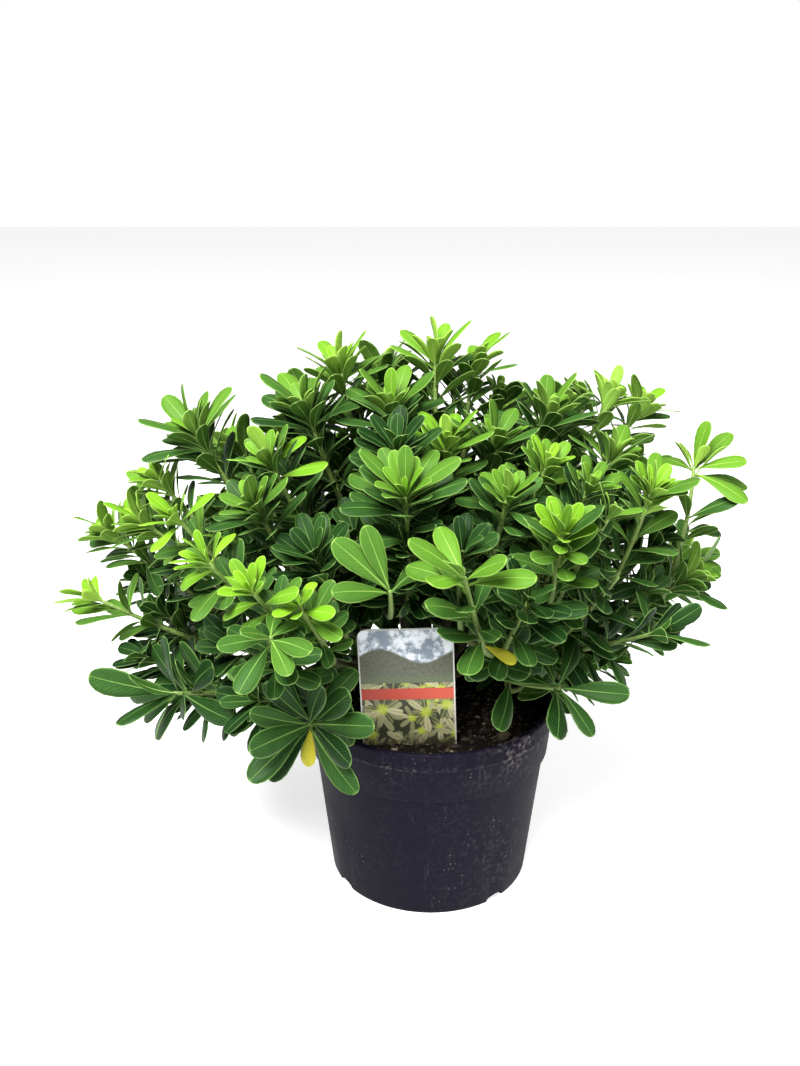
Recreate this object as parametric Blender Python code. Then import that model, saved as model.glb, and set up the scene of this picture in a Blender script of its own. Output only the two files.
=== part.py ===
import math
import random
from collections import namedtuple

import bpy
from mathutils import Vector
from mathutils.bvhtree import BVHTree

# Potted dwarf pittosporum in its black nursery pot, in metres, standing on z = 0 with the front
# towards -Y and the origin in the middle of the pot's underside.

MM = 0.001
CM = 0.01
UP = Vector((0.0, 0.0, 1.0))

# Nursery pot: outer and inner half profiles as (radius, height) in mm.
POT_SIDES = 30
POT_OUTSIDE = (
    (75.6, 0.0),
    (78.4, 2.6),
    (90.4, 106.2),
    (93.2, 107.8),
    (95.9, 134.2),
    (97.0, 136.0),
    (97.2, 145.6),
    (95.6, 148.0),
)
POT_INSIDE = (
    (92.4, 148.0),
    (91.2, 146.4),
    (90.8, 109.4),
    (88.0, 105.6),
    (76.6, 4.2),
    (74.6, 2.4),
)
# Drain notches in the base edge: bearing in degrees from the front, then size in mm.
NOTCH_BEARINGS = (-58.0, 40.0, 130.0, 212.0)
NOTCH_WIDTH = 17.0
NOTCH_HEIGHT = 5.4
NOTCH_INNER = 69.0
NOTCH_OUTER = 84.0

# Compost filling the pot: (radius, height) of the top surface in mm, from the wall to the stem.
FIT_GAP = 0.3
SOIL_SHOULDER = (58.0, 134.2)
SOIL_EDGE_HEIGHT = 132.2
SOIL_CENTRE_HEIGHT = 136.4
STEM_HOLE_RADIUS = 8.9
STEM_HOLE_FLOOR = 114.0

# Picture tag pushed into the compost: sizes in mm, foot in cm.
TAG_WIDTH = 70.0
TAG_THICKNESS = 0.8
TAG_TOP = 95.0
TAG_SHOULDER = 2.0
TAG_POINT = 24.0
TAG_CORNER = 7.0
TAG_FOOT = (-1.62, -5.6, 13.35)
TAG_ROLL = -2.4
TAG_YAW = -2.0
TAG_SLOT = 0.35

# Woody framework: crown in cm, radii in mm, forks in cm.
CROWN = (0.0, 0.4, 15.6)
TRUNK_FOOT = 114.3
TRUNK_BEND = 139.0
TRUNK_RADIUS = 8.5
CROWN_RADIUS = 7.6
TRUNK_SIDES = 8
LIMB_RADII = (4.6, 3.3)
TWIG_RADII = (2.7, 2.2)
STEM_TIP_RADIUS = 1.4
JOINT_GAP = 0.3
STEM_STEPS = 2
STEM_SIDES = 4
LIMB_SIDES = 5
FORKS = {
    "a": (-9.0, -0.5, 18.6),
    "b": (-7.5, -1.5, 22.0),
    "c": (-7.4, -4.8, 19.6),
    "d": (-4.0, -2.6, 24.4),
    "e": (-2.6, 0.6, 25.0),
    "f": (1.6, 1.6, 25.0),
    "g": (4.8, -5.0, 20.4),
    "h": (8.0, -3.0, 21.2),
    "i": (9.2, 0.6, 19.0),
    "j": (6.0, 4.0, 24.0),
    "k": (6.0, 7.0, 19.4),
    "l": (-3.0, 6.0, 22.0),
    "m": (-8.0, 6.0, 19.6),
}

# Leaf blade: thickness in mm, width as a share of the length, and the outline rows from root to
# tip as (share of the length, share of the half width).
LEAF_THICKNESS = 0.8
LEAF_WIDTH_SHARE = 0.34
LEAF_SHOULDER = (0.44, 0.66)
LEAF_BELLY = (0.77, 1.0)
LEAF_END = (0.985, 0.36)
# Bend of an old blade in degrees, what a young one has less by either leaf rule, and the lift of
# the edges as a share of the half width.
OLD_ARCH = 30.0
ARCH_LOSS = (12.0, 14.0)
OLD_CUP = -0.1
YOUNG_CUP = 0.26

# General rule for a shoot: leaves in a spiral, angles from the stem in degrees, lowest to top.
SPIRAL_LEAVES = 6
GOLDEN_ANGLE = 137.5
LOW_PITCH = 68.0
TOP_PITCH = 24.0
SPIRAL_SHARE = 0.55

# Placing: leaves keep CLEARANCE mm from other pieces, by turning, lifting and shortening in steps.
CLEARANCE = 0.7
OWN_CLEARANCE = 0.25
# Share of a leaf's length from which it is kept clear of other pieces, and of its own shoot's leaves.
CLEAR_FROM = 0.04
OWN_CLEAR_FROM = 0.3
TRY_SCALES = (1.0, 0.88, 0.76)
TRY_TURNS = (0, 10, -10, 20, -20, 32, -32, 44, -44)
TRY_RAISES = (0, -10, 10, -20)
SEED = 41
SHARP_ANGLE = 34.0

# Leafy shoots: fork letter, tip in cm, stem length and leaf length in mm, tone, then the lean from
# upright and its bearing in degrees where the place of the tip doesn't give them. The spin turns
# the leaf spiral of a shoot that follows the general rule.
Shoot = namedtuple("Shoot", "fork tip stem leaf tone lean bearing spin", defaults=(None, None, 0))
SHOOTS = (
    Shoot("f", (0.3, 4.0, 40.4), 80, 46, "fresh"),
    Shoot("f", (3.2, 6.0, 39.8), 75, 44, "fresh"),
    Shoot("e", (-6.8, 4.0, 39.6), 80, 46, "fresh"),
    Shoot("e", (-8.9, -1.0, 37.6), 75, 50, "mid"),
    Shoot("e", (-2.9, 0.0, 37.4), 75, 48, "mid"),
    Shoot("b", (-17.1, 0.0, 35.6), 85, 50, "mid"),
    Shoot("d", (-11.2, -5.0, 34.9), 75, 44, "mid"),
    Shoot("e", (0.9, -3.0, 35.6), 70, 44, "fresh"),
    Shoot("d", (-2.0, -9.0, 33.8), 80, 52, "mid"),
    Shoot("j", (8.4, 2.0, 36.4), 80, 50, "mid"),
    Shoot("f", (4.4, -1.0, 35.2), 70, 46, "mid"),
    Shoot("j", (14.2, 9.0, 36.2), 80, 42, "fresh"),
    Shoot("j", (17.1, 11.0, 35.0), 80, 42, "fresh"),
    Shoot("h", (13.1, 0.0, 33.8), 80, 46, "mid"),
    Shoot("i", (19.8, 2.0, 32.8), 105, 46, "fresh", lean=14.0, bearing=80.0),
    Shoot("h", (14.8, -6.0, 33.0), 90, 44, "fresh", lean=20.0, bearing=-70.0),
    Shoot("g", (4.8, -8.0, 33.2), 75, 44, "mid"),
    Shoot("h", (7.9, -13.0, 32.4), 90, 46, "fresh", lean=27.0, bearing=-88.0),
    Shoot("g", (1.6, -16.0, 30.8), 80, 50, "fresh", lean=30.0, bearing=-112.0),
    Shoot("b", (-17.2, -8.0, 31.8), 75, 42, "fresh"),
    Shoot("b", (-19.8, -1.6, 32.8), 75, 38, "fresh"),
    Shoot("a", (-24.0, 0.4, 28.0), 80, 42, "fresh"),
    Shoot("a", (-24.2, -4.0, 24.4), 80, 42, "fresh"),
    Shoot("b", (-14.6, -12.4, 30.4), 75, 42, "fresh"),
    Shoot("c", (-11.4, -15.6, 29.6), 70, 40, "fresh"),
    Shoot("c", (-8.7, -15.2, 28.6), 70, 38, "fresh"),
    Shoot("c", (-10.2, -18.0, 27.7), 60, 44, "mid", lean=34.0, bearing=-90.0),
    Shoot("c", (-8.4, -13.6, 19.4), 55, 56, "dark", lean=78.0),
    Shoot("a", (-18.3, -8.8, 19.3), 70, 54, "dark", lean=76.0),
    Shoot("g", (8.6, -10.6, 20.6), 55, 52, "dark", lean=70.0),
    Shoot("h", (15.2, -8.6, 23.8), 70, 46, "dark", lean=62.0),
    Shoot("i", (19.0, -1.6, 25.2), 75, 46, "mid"),
    Shoot("d", (-3.0, -13.0, 28.7), 70, 48, "mid", lean=48.0, bearing=-92.0),
    Shoot("b", (-12.0, -8.0, 32.6), 65, 44, "mid"),
    Shoot("b", (-21.0, -2.4, 29.8), 65, 40, "fresh", lean=50.0),
    Shoot("b", (-14.6, 5.6, 32.4), 75, 48, "mid", spin=95),
    Shoot("l", (-3.6, 9.6, 38.0), 75, 50, "mid", spin=10),
    Shoot("l", (-9.6, 13.4, 34.8), 80, 50, "mid", spin=35),
    Shoot("j", (6.6, 13.0, 33.0), 75, 50, "mid", spin=65),
    Shoot("l", (-1.6, 17.6, 31.6), 85, 50, "mid", spin=20),
    Shoot("k", (9.6, 17.4, 29.8), 85, 50, "mid", spin=95),
    Shoot("k", (17.6, 13.6, 28.4), 85, 50, "mid", spin=50),
    Shoot("m", (-16.8, 12.2, 30.4), 85, 50, "mid", spin=5),
    Shoot("m", (-22.6, 7.4, 27.0), 85, 48, "mid", spin=70),
    Shoot("i", (20.4, 8.0, 22.8), 75, 48, "mid", spin=40),
    Shoot("k", (13.6, 18.2, 22.6), 80, 52, "dark", spin=15),
    Shoot("k", (3.4, 20.6, 24.8), 80, 52, "mid", spin=85),
    Shoot("l", (-7.8, 19.6, 25.6), 80, 52, "mid", spin=30),
    Shoot("m", (-17.2, 14.2, 21.6), 75, 52, "dark", spin=60),
    Shoot("m", (-8.2, 15.6, 19.2), 60, 54, "dark", lean=74.0, spin=25),
    Shoot("k", (6.2, 15.4, 19.4), 60, 54, "dark", lean=74.0, spin=75),
    Shoot("i", (17.4, 7.4, 19.2), 65, 52, "dark", lean=74.0),
    Shoot("a", (-18.6, 4.6, 19.6), 70, 52, "dark", lean=74.0, spin=50),
)

# Leaves set by eye on the shoots that show at the front, by shoot number: share of the stem,
# clock angle in the front view (0 right, 90 up), reach across that view in mm, and 1 towards
# the viewer or -1 away. The front view looks down by VIEW_TILT.
VIEW_TILT = 19.0
# How far the upper sides of leaves turn up, towards the viewer where they are set by eye, and outwards
# from the bush elsewhere, as shares of how far they turn to the stem; MORE_FACING is by shoot number.
UP_FACING = 0.25
FRONT_FACING = 0.35
MORE_FACING = {15: 1.6, 29: 0.8, 30: 0.6}
OUTER_FACING = 0.35
FRONT_LEAVES = {
    1: (
        (0.96, 133, 40, -1), (0.9, 155, 38, 1), (0.99, 96, 34, 1), (0.98, 76, 34, -1),
        (0.96, 50, 42, 1), (0.85, 25, 36, -1),
    ),
    2: (
        (0.96, 42, 38, 1), (0.98, 66, 36, -1), (0.99, 95, 32, 1), (0.85, 12, 34, 1),
        (0.9, 140, 34, -1),
    ),
    3: (
        (0.97, 58, 36, 1), (0.97, 122, 34, -1), (0.99, 90, 30, 1), (0.9, 40, 38, -1),
        (0.92, 147, 40, 1), (0.85, 20, 36, 1),
    ),
    4: (
        (0.95, 139, 46, 1), (0.96, 122, 42, -1), (1.0, 92, 26, 1), (0.97, 68, 36, 1),
        (0.88, 150, 46, -1), (0.85, 35, 42, -1), (0.8, 172, 44, 1),
    ),
    5: (
        (0.98, 127, 40, 1), (1.0, 93, 32, 1), (0.98, 74, 40, -1), (0.95, 47, 44, 1),
        (0.9, 150, 42, -1), (0.88, 28, 44, -1), (0.8, 170, 44, 1),
    ),
    6: (
        (0.99, 104, 40, 1), (0.99, 84, 36, -1), (0.97, 64, 46, -1), (0.96, 50, 44, 1),
        (0.96, 131, 46, -1), (0.93, 160, 47, 1), (0.85, 188, 47, 1),
    ),
    7: (
        (0.98, 116, 30, 1), (1.0, 86, 22, 1), (0.97, 46, 32, -1), (0.93, 168, 30, 1),
        (0.85, 190, 40, -1), (0.85, 10, 36, 1),
    ),
    8: (
        (1.0, 92, 22, 1), (0.97, 120, 34, -1), (0.96, 52, 34, 1), (0.97, 75, 30, -1),
        (0.92, 150, 34, 1), (0.9, 25, 36, 1),
    ),
    9: (
        (0.98, 136, 44, 1), (0.99, 114, 38, -1), (1.0, 90, 34, 1), (0.98, 58, 40, -1),
        (0.96, 38, 46, 1), (0.9, 150, 46, -1), (0.88, 24, 44, 1), (0.8, 172, 46, 1),
    ),
    10: (
        (0.98, 86, 38, -1), (0.96, 58, 44, 1), (0.97, 126, 38, 1), (0.99, 105, 28, 1),
        (0.85, 20, 42, 1), (0.88, 155, 44, -1), (0.8, 35, 42, -1),
    ),
    11: (
        (0.99, 94, 34, 1), (0.97, 58, 36, -1), (0.95, 130, 36, 1), (0.9, 155, 40, 1),
        (0.88, 30, 38, 1),
    ),
    12: (
        (0.98, 100, 30, -1), (0.98, 70, 32, 1), (0.95, 45, 30, -1), (0.94, 150, 32, 1),
        (0.9, 10, 34, 1),
    ),
    13: (
        (0.97, 0, 36, 1), (0.98, 38, 34, -1), (0.99, 68, 28, -1), (0.95, 100, 30, 1),
        (0.85, 15, 38, -1), (0.8, 160, 34, 1),
    ),
    14: (
        (1.0, 90, 24, 1), (0.97, 127, 36, -1), (0.96, 60, 36, -1), (0.93, 146, 38, 1),
        (0.9, 38, 40, 1), (0.8, 165, 42, -1), (0.8, 15, 40, 1),
    ),
    15: (
        (0.99, 76, 36, 1), (0.97, 44, 44, -1), (0.98, 9, 38, 1), (0.93, -8, 46, -1),
        (0.95, -33, 42, 1), (0.96, 140, 20, -1), (0.62, 22, 38, 1), (0.52, 2, 36, -1),
    ),
    16: (
        (0.99, 90, 24, 1), (0.96, 70, 36, -1), (0.95, 130, 30, 1), (0.94, 24, 32, 1),
        (0.8, 42, 34, -1), (0.74, 143, 26, 1), (0.5, 50, 34, -1),
    ),
    17: (
        (1.0, 92, 20, 1), (0.98, 120, 26, -1), (0.97, 45, 28, 1), (0.9, -30, 26, 1),
        (0.85, 160, 34, -1), (0.75, 20, 36, -1),
    ),
    18: (
        (0.9, 149, 31, 1), (0.93, 46, 30, 1), (0.86, 44, 34, -1), (0.58, 92, 24, 1),
        (0.98, 122, 18, 1), (1.0, 82, 20, 1), (0.55, 140, 34, -1), (0.55, 45, 36, 1),
    ),
    19: (
        (0.95, 143, 45, 1), (0.97, 117, 37, -1), (0.98, 138, 18, 1), (0.95, 179, 23, 1),
        (0.96, 33, 27, 1), (0.9, 10, 42, 1), (0.86, 158, 40, -1), (0.6, 20, 31, -1),
        (0.45, 160, 36, 1), (0.12, 24, 25, -1), (0.1, 166, 30, 1), (0.07, -134, 22, 1),
    ),
    20: (
        (0.99, 137, 28, 1), (0.98, 36, 31, 1), (0.96, 183, 24, 1), (0.95, 235, 22, 1),
        (0.8, -10, 30, -1), (0.75, 210, 34, -1),
    ),
    21: (
        (0.98, 165, 24, 1), (0.99, 115, 18, -1), (0.98, 60, 20, 1), (0.95, 185, 24, -1),
        (0.8, 150, 34, -1),
    ),
    22: (
        (0.98, 155, 32, 1), (0.96, 106, 26, 1), (0.99, 143, 22, -1), (0.85, 178, 34, -1),
        (0.72, 188, 32, -1), (0.6, -55, 30, 1),
    ),
    23: (
        (0.98, 163, 28, 1), (0.96, 178, 30, 1), (0.99, 125, 20, -1), (0.8, 182, 40, -1),
        (0.66, 186, 40, 1), (0.7, 95, 30, -1),
    ),
    24: (
        (0.99, 132, 22, 1), (0.99, 56, 24, -1), (0.96, 172, 20, 1), (0.9, 205, 32, -1),
        (0.8, -15, 30, 1), (0.7, 230, 30, 1),
    ),
    25: (
        (1.0, 74, 25, 1), (1.0, 124, 19, -1), (0.97, 172, 20, 1), (0.85, 200, 30, -1),
        (0.8, 20, 26, 1), (0.7, -30, 30, -1),
    ),
    26: (
        (1.0, 118, 15, 1), (1.0, 58, 17, -1), (0.97, 170, 16, 1), (0.88, 3, 22, 1),
        (0.75, -20, 25, 1), (0.8, 200, 22, -1),
    ),
    27: (
        (0.98, 92, 20, -1), (0.97, 184, 30, 1), (0.99, 160, 16, 1), (0.9, 240, 32, 1),
        (0.97, -52, 24, 1), (0.94, -16, 32, 1), (0.99, 40, 18, -1),
    ),
    28: (
        (1.0, -54, 54, 1), (0.96, 6, 44, 1), (0.9, -16, 40, -1), (0.97, 50, 46, -1),
        (0.93, 122, 40, -1), (0.97, 166, 40, 1), (0.92, 194, 40, 1), (0.99, 222, 52, 1),
        (0.86, 203, 50, -1),
    ),
    29: (
        (1.0, 165, 58, 1), (0.95, 183, 44, -1), (0.93, 206, 40, 1), (0.96, 148, 30, 1),
        (0.9, -22, 42, 1), (0.85, 120, 34, -1), (0.8, 52, 34, 1),
    ),
    30: (
        (1.0, -5, 46, 1), (0.98, -55, 38, 1), (0.9, 208, 22, -1), (0.95, 58, 36, -1),
        (0.93, 112, 36, -1), (0.9, 165, 38, -1), (0.9, -100, 28, 1), (0.04, -109, 32, 1),
    ),
    31: (
        (0.98, 30, 38, 1), (0.95, -8, 34, 1), (0.8, 226, 32, -1), (0.92, 152, 34, -1),
        (0.85, 10, 36, -1), (0.95, 88, 30, -1),
    ),
    32: (
        (0.98, 54, 40, 1), (0.95, 18, 38, -1), (0.95, 82, 30, 1), (0.85, -25, 36, 1),
        (0.75, -5, 40, -1), (0.9, 130, 34, -1),
    ),
    33: (
        (0.98, 137, 50, 1), (0.99, 112, 46, 1), (0.94, 178, 37, 1), (0.95, 38, 28, -1),
    ),
    34: (
        (0.95, 96, 24, 1), (0.93, 150, 30, -1), (0.95, 42, 30, 1), (0.85, 190, 36, 1),
        (0.85, 0, 36, -1),
    ),
    35: (
        (0.98, 153, 32, 1), (0.98, 132, 26, -1), (0.97, 108, 26, 1), (0.95, 172, 28, -1),
        (0.8, 200, 30, 1),
    ),
}

TONES = {
    "fresh": (0.10, 0.32, 0.02, 1.0),
    "mid": (0.045, 0.17, 0.018, 1.0),
    "dark": (0.02, 0.085, 0.018, 1.0),
}


def clear_scene():
    for old in list(bpy.data.objects):
        bpy.data.objects.remove(old, do_unlink=True)


def new_material(name, colour, roughness):
    material = bpy.data.materials.new(name)
    material.use_nodes = True
    shader = material.node_tree.nodes["Principled BSDF"]
    shader.inputs["Base Color"].default_value = colour
    shader.inputs["Roughness"].default_value = roughness
    shader.inputs["Metallic"].default_value = 0.0
    material.diffuse_color = colour
    return material


def new_object(name, piece, material):
    points, faces = piece
    mesh = bpy.data.meshes.new(name)
    mesh.from_pydata([tuple(p) for p in points], [], faces)
    mesh.validate()
    if material:
        mesh.materials.append(material)
    obj = bpy.data.objects.new(name, mesh)
    bpy.context.scene.collection.objects.link(obj)
    return obj


def apply_boolean(obj, operation, others, solver="EXACT"):
    """Join or cut the other objects in one step, then remove them."""
    group = bpy.data.collections.new("tools")
    bpy.context.scene.collection.children.link(group)
    for other in others:
        bpy.context.scene.collection.objects.unlink(other)
        group.objects.link(other)
    modifier = obj.modifiers.new("fuse", "BOOLEAN")
    modifier.operation = operation
    modifier.operand_type = "COLLECTION"
    modifier.collection = group
    modifier.solver = solver
    bpy.context.view_layer.update()
    graph = bpy.context.evaluated_depsgraph_get()
    mesh = bpy.data.meshes.new_from_object(obj.evaluated_get(graph))
    obj.modifiers.clear()
    obj.data = mesh
    for other in others:
        bpy.data.objects.remove(other, do_unlink=True)
    bpy.data.collections.remove(group)


def smooth_round(obj):
    """Shade a round piece smooth, with its real edges kept sharp."""
    obj.data.shade_smooth()
    obj.data.set_sharp_from_angle(angle=math.radians(SHARP_ANGLE))


def turned(profile, sides):
    """Turn a closed (radius, height) outline in mm about the Z axis; radius 0 is one point."""
    points = []
    rings = []
    for radius, height in profile:
        if radius == 0.0:
            rings.append([len(points)])
            points.append(Vector((0.0, 0.0, height * MM)))
            continue
        ring = []
        for i in range(sides):
            angle = 2.0 * math.pi * i / sides
            ring.append(len(points))
            points.append(Vector((radius * math.cos(angle), radius * math.sin(angle), height)) * MM)
        rings.append(ring)
    faces = []
    for low, high in zip(rings, rings[1:]):
        for i in range(sides):
            j = (i + 1) % sides
            if len(low) == 1:
                faces.append((low[0], high[j], high[i]))
            elif len(high) == 1:
                faces.append((low[i], low[j], high[0]))
            else:
                faces.append((low[i], low[j], high[j], high[i]))
    return points, faces


def boxed(size, centre, bearing=0.0):
    """A box with sides in metres, turned about Z by the bearing in radians."""
    points = []
    for dz in (-0.5, 0.5):
        for dx, dy in ((-0.5, -0.5), (0.5, -0.5), (0.5, 0.5), (-0.5, 0.5)):
            x = dx * size[0]
            y = dy * size[1]
            points.append(
                Vector(
                    (
                        x * math.cos(bearing) - y * math.sin(bearing) + centre[0],
                        x * math.sin(bearing) + y * math.cos(bearing) + centre[1],
                        dz * size[2] + centre[2],
                    )
                )
            )
    faces = [(3, 2, 1, 0), (4, 5, 6, 7), (0, 1, 5, 4), (1, 2, 6, 5), (2, 3, 7, 6), (3, 0, 4, 7)]
    return points, faces


def frames_along(path, first_way=None, last_way=None):
    """Tangent and two cross directions at each point of a path, carried without twist."""
    tangents = []
    for i in range(len(path)):
        before = path[max(i - 1, 0)]
        after = path[min(i + 1, len(path) - 1)]
        tangents.append((after - before).normalized())
    tangents[0] = (path[1] - path[0]).normalized() if first_way is None else first_way
    tangents[-1] = (path[-1] - path[-2]).normalized() if last_way is None else last_way
    across = tangents[0].cross(Vector((0.0, 1.0, 0.0)))
    if across.length < 0.2:
        across = tangents[0].cross(Vector((1.0, 0.0, 0.0)))
    across.normalize()
    frames = []
    for tangent in tangents:
        across = (across - tangent * across.dot(tangent)).normalized()
        frames.append((tangent, across, tangent.cross(across)))
    return frames


def tube(path, radii, sides, first_way=None, last_way=None):
    """A closed tube with flat ends along a path, with a radius in metres at each point."""
    points = []
    faces = []
    frames = frames_along(path, first_way, last_way)
    for centre, radius, (_, first, second) in zip(path, radii, frames):
        for i in range(sides):
            angle = 2.0 * math.pi * i / sides
            points.append(centre + (first * math.cos(angle) + second * math.sin(angle)) * radius)
    for row in range(len(path) - 1):
        base = row * sides
        for i in range(sides):
            j = (i + 1) % sides
            faces.append((base + i, base + j, base + sides + j, base + sides + i))
    faces.append(tuple(reversed(range(sides))))
    last = (len(path) - 1) * sides
    faces.append(tuple(last + i for i in range(sides)))
    return points, faces


def curve(start, start_way, end, end_way, steps):
    """Points of a smooth curve that leaves and arrives along the two directions."""
    reach = (end - start).length
    path = []
    for i in range(steps + 1):
        t = i / steps
        h00 = 2 * t**3 - 3 * t**2 + 1
        h10 = t**3 - 2 * t**2 + t
        h01 = -2 * t**3 + 3 * t**2
        h11 = t**3 - t**2
        path.append(start * h00 + start_way * (h10 * reach) + end * h01 + end_way * (h11 * reach))
    return path


def blade(root, way, face, length, width, arch, cup, thickness, start=0.0):
    """A leaf blade that begins at root, heads along way with its upper side to face, and bends down."""
    side = way.cross(face)
    half_turn = 0.5 * arch
    thick_way = face * math.cos(half_turn) + way * math.sin(half_turn)

    def spot(u, across, lift):
        angle = arch * u
        ahead = math.sin(angle) / arch
        drop = (1.0 - math.cos(angle)) / arch
        normal = face * math.cos(angle) + way * math.sin(angle)
        half = 0.5 * width
        along = (way * ahead - face * drop) * length
        return root + along + side * (across * half) + normal * (lift * half)

    sheet = [spot(start, 0.0, 0.0)]
    for u, share in (LEAF_SHOULDER, LEAF_BELLY, LEAF_END):
        sheet.append(spot(u, share, cup * share))
        sheet.append(spot(u, -share, cup * share))
    sheet.append(spot(LEAF_BELLY[0], 0.0, 0.0))
    points = [p + thick_way * (0.5 * thickness) for p in sheet]
    points += [p - thick_way * (0.5 * thickness) for p in sheet]
    lower = [(0, 2, 1), (1, 2, 7), (1, 7, 3), (2, 4, 7), (3, 7, 5), (4, 6, 7), (5, 7, 6)]
    rim = (0, 1, 3, 5, 6, 4, 2)
    count = len(sheet)
    faces = [tuple(reversed(f)) for f in lower]
    faces += [tuple(i + count for i in f) for f in lower]
    for a, b in zip(rim, rim[1:] + rim[:1]):
        faces.append((a, a + count, b + count, b))
    return points, faces


def lean_of(tip):
    """Direction of a shoot at its tip: outwards from the bush's heart and up."""
    lift = 15.0 * min(1.0, max(0.25, (tip[2] - 17.0) / 10.0))
    return Vector((tip[0], tip[1], tip[2] - 20.0 + lift)).normalized()


class Piece:
    """A surface for clearance tests, with its box."""

    def __init__(self, owner, piece):
        points, faces = piece
        self.owner = owner
        self.low = Vector([min(p[i] for p in points) for i in range(3)])
        self.high = Vector([max(p[i] for p in points) for i in range(3)])
        self.tree = BVHTree.FromPolygons([tuple(p) for p in points], faces)

    def meets(self, other):
        for i in range(3):
            if self.low[i] > other.high[i] or other.low[i] > self.high[i]:
                return False
        return bool(self.tree.overlap(other.tree))


def shoot_frame(row):
    """Path of a leafy stem from its foot to its tip, and the direction at its foot."""
    top = Vector(row.tip) * CM
    way = lean_of(row.tip)
    if row.lean is not None:
        lean = math.radians(row.lean)
        flat = Vector((top.x, top.y, 0.0)).normalized()
        if row.bearing is not None:
            bearing = math.radians(row.bearing)
            flat = Vector((math.cos(bearing), math.sin(bearing), 0.0))
        way = flat * math.sin(lean) + UP * math.cos(lean)
    from_fork = (top - Vector(FORKS[row.fork]) * CM).normalized()
    foot_way = (way * 0.45 + from_fork * 0.55).normalized()
    mean = (way * 0.5 + foot_way * 0.5).normalized()
    foot = top - mean * (row.stem * MM)
    return curve(foot, foot_way, top, way, STEM_STEPS), foot_way


def leaf_spot(path, share):
    """Point and direction at a share of a path's length."""
    place = share * (len(path) - 1)
    low = min(int(place), len(path) - 2)
    part = place - low
    point = path[low].lerp(path[low + 1], part)
    frames = frames_along(path)
    way = frames[low][0].lerp(frames[low + 1][0], part).normalized()
    across = frames[low][1]
    across = (across - way * across.dot(way)).normalized()
    return point, way, across


def inner_share(share):
    """1 for the youngest leaves at the tip of a stem, falling to 0 a little way down."""
    return max(0.0, 1.0 - (1.0 - share) / 0.05)


# A leaf to come: share of the stem, direction, length in mm, bend in degrees, lift of the edges, and
# the way that its upper side turns besides up and towards the stem.
Plan = namedtuple("Plan", "share way size arch cup facing")


def outwards(row):
    """Level direction from the middle of the bush to a shoot."""
    return Vector((row.tip[0], row.tip[1], 0.0)).normalized()


def spiral_plans(path, row, draw):
    """Leaves in a golden-angle spiral, lowest first."""
    plans = []
    for k in range(SPIRAL_LEAVES):
        youth = k / (SPIRAL_LEAVES - 1)
        share = 0.99 - SPIRAL_SHARE * (1.0 - youth) ** 2.0
        pitch = math.radians(LOW_PITCH + (TOP_PITCH - LOW_PITCH) * youth + draw.uniform(-5.0, 5.0))
        bearing = math.radians(row.spin + k * GOLDEN_ANGLE + draw.uniform(-8.0, 8.0))
        size = row.leaf * (0.96 + 0.1 * math.sin(math.pi * youth) - 0.28 * youth**3)
        size *= draw.uniform(0.95, 1.05)
        _, axis, across = leaf_spot(path, share)
        out = across * math.cos(bearing) + axis.cross(across) * math.sin(bearing)
        way = axis * math.cos(pitch) + out * math.sin(pitch)
        arch = OLD_ARCH - ARCH_LOSS[0] * youth + draw.uniform(-6.0, 8.0)
        cup = OLD_CUP + (YOUNG_CUP - OLD_CUP) * youth
        plans.append(Plan(share, way, size, arch, cup, outwards(row) * OUTER_FACING))
    return plans


def front_plans(path, row, aims, facing, draw):
    """Leaves aimed across the front view."""
    tilt = math.radians(VIEW_TILT)
    right = Vector((1.0, 0.0, 0.0))
    high = Vector((0.0, math.sin(tilt), math.cos(tilt)))
    near = Vector((0.0, -math.cos(tilt), math.sin(tilt)))
    plans = []
    for share, clock, reach, side in aims:
        youth = inner_share(share)
        size = max(reach * 1.04, row.leaf * (1.0 - 0.36 * youth) * draw.uniform(0.96, 1.04))
        flat = min(0.96, reach / size)
        turn = math.radians(clock)
        way = (right * math.cos(turn) + high * math.sin(turn)) * flat
        way = (way + near * (side * math.sqrt(1.0 - flat * flat))).normalized()
        arch = OLD_ARCH - ARCH_LOSS[1] * youth + draw.uniform(-6.0, 6.0)
        cup = OLD_CUP + (YOUNG_CUP - OLD_CUP) * youth
        plans.append(Plan(share, way, size, arch, cup, near * facing))
    return plans


def swung(way, axis, turn, raised):
    """A leaf's direction turned about the stem and moved from it, both in degrees."""
    out = way - axis * way.dot(axis)
    if out.length < 0.05:
        return way
    out.normalize()
    swing = math.radians(turn)
    out = out * math.cos(swing) + axis.cross(out) * math.sin(swing)
    pitch = math.acos(max(-1.0, min(1.0, way.dot(axis)))) + math.radians(raised)
    return axis * math.cos(pitch) + out * math.sin(pitch)


def leaf_blade(path, plan, grow, start=0.0):
    """The blade of one leaf plan; grow widens it all round, in mm, for a clearance test."""
    way, size = plan.way, plan.size
    point, axis, _ = leaf_spot(path, plan.share)
    face = axis - way * axis.dot(way)
    if face.length < 0.05:
        face = UP - way * UP.dot(way)
    face.normalize()
    face = face + UP * UP_FACING + plan.facing
    face = (face - way * face.dot(way)).normalized()
    bend = math.radians(plan.arch)
    first_way = way * math.cos(0.5 * bend) + face * math.sin(0.5 * bend)
    face = face * math.cos(0.5 * bend) - way * math.sin(0.5 * bend)
    return blade(
        point - first_way * (0.5 * MM),
        first_way,
        face,
        (size + grow) * MM,
        (size * LEAF_WIDTH_SHARE + 2.0 * grow) * MM,
        bend,
        plan.cup,
        (LEAF_THICKNESS + 2.0 * grow) * MM,
        start,
    )


def trials(plan, axis):
    """A leaf plan, then the same leaf turned about the stem, raised or shortened."""
    for scale in TRY_SCALES:
        for turn in TRY_TURNS:
            for raised in TRY_RAISES:
                yield plan._replace(way=swung(plan.way, axis, turn, raised), size=plan.size * scale)


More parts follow.
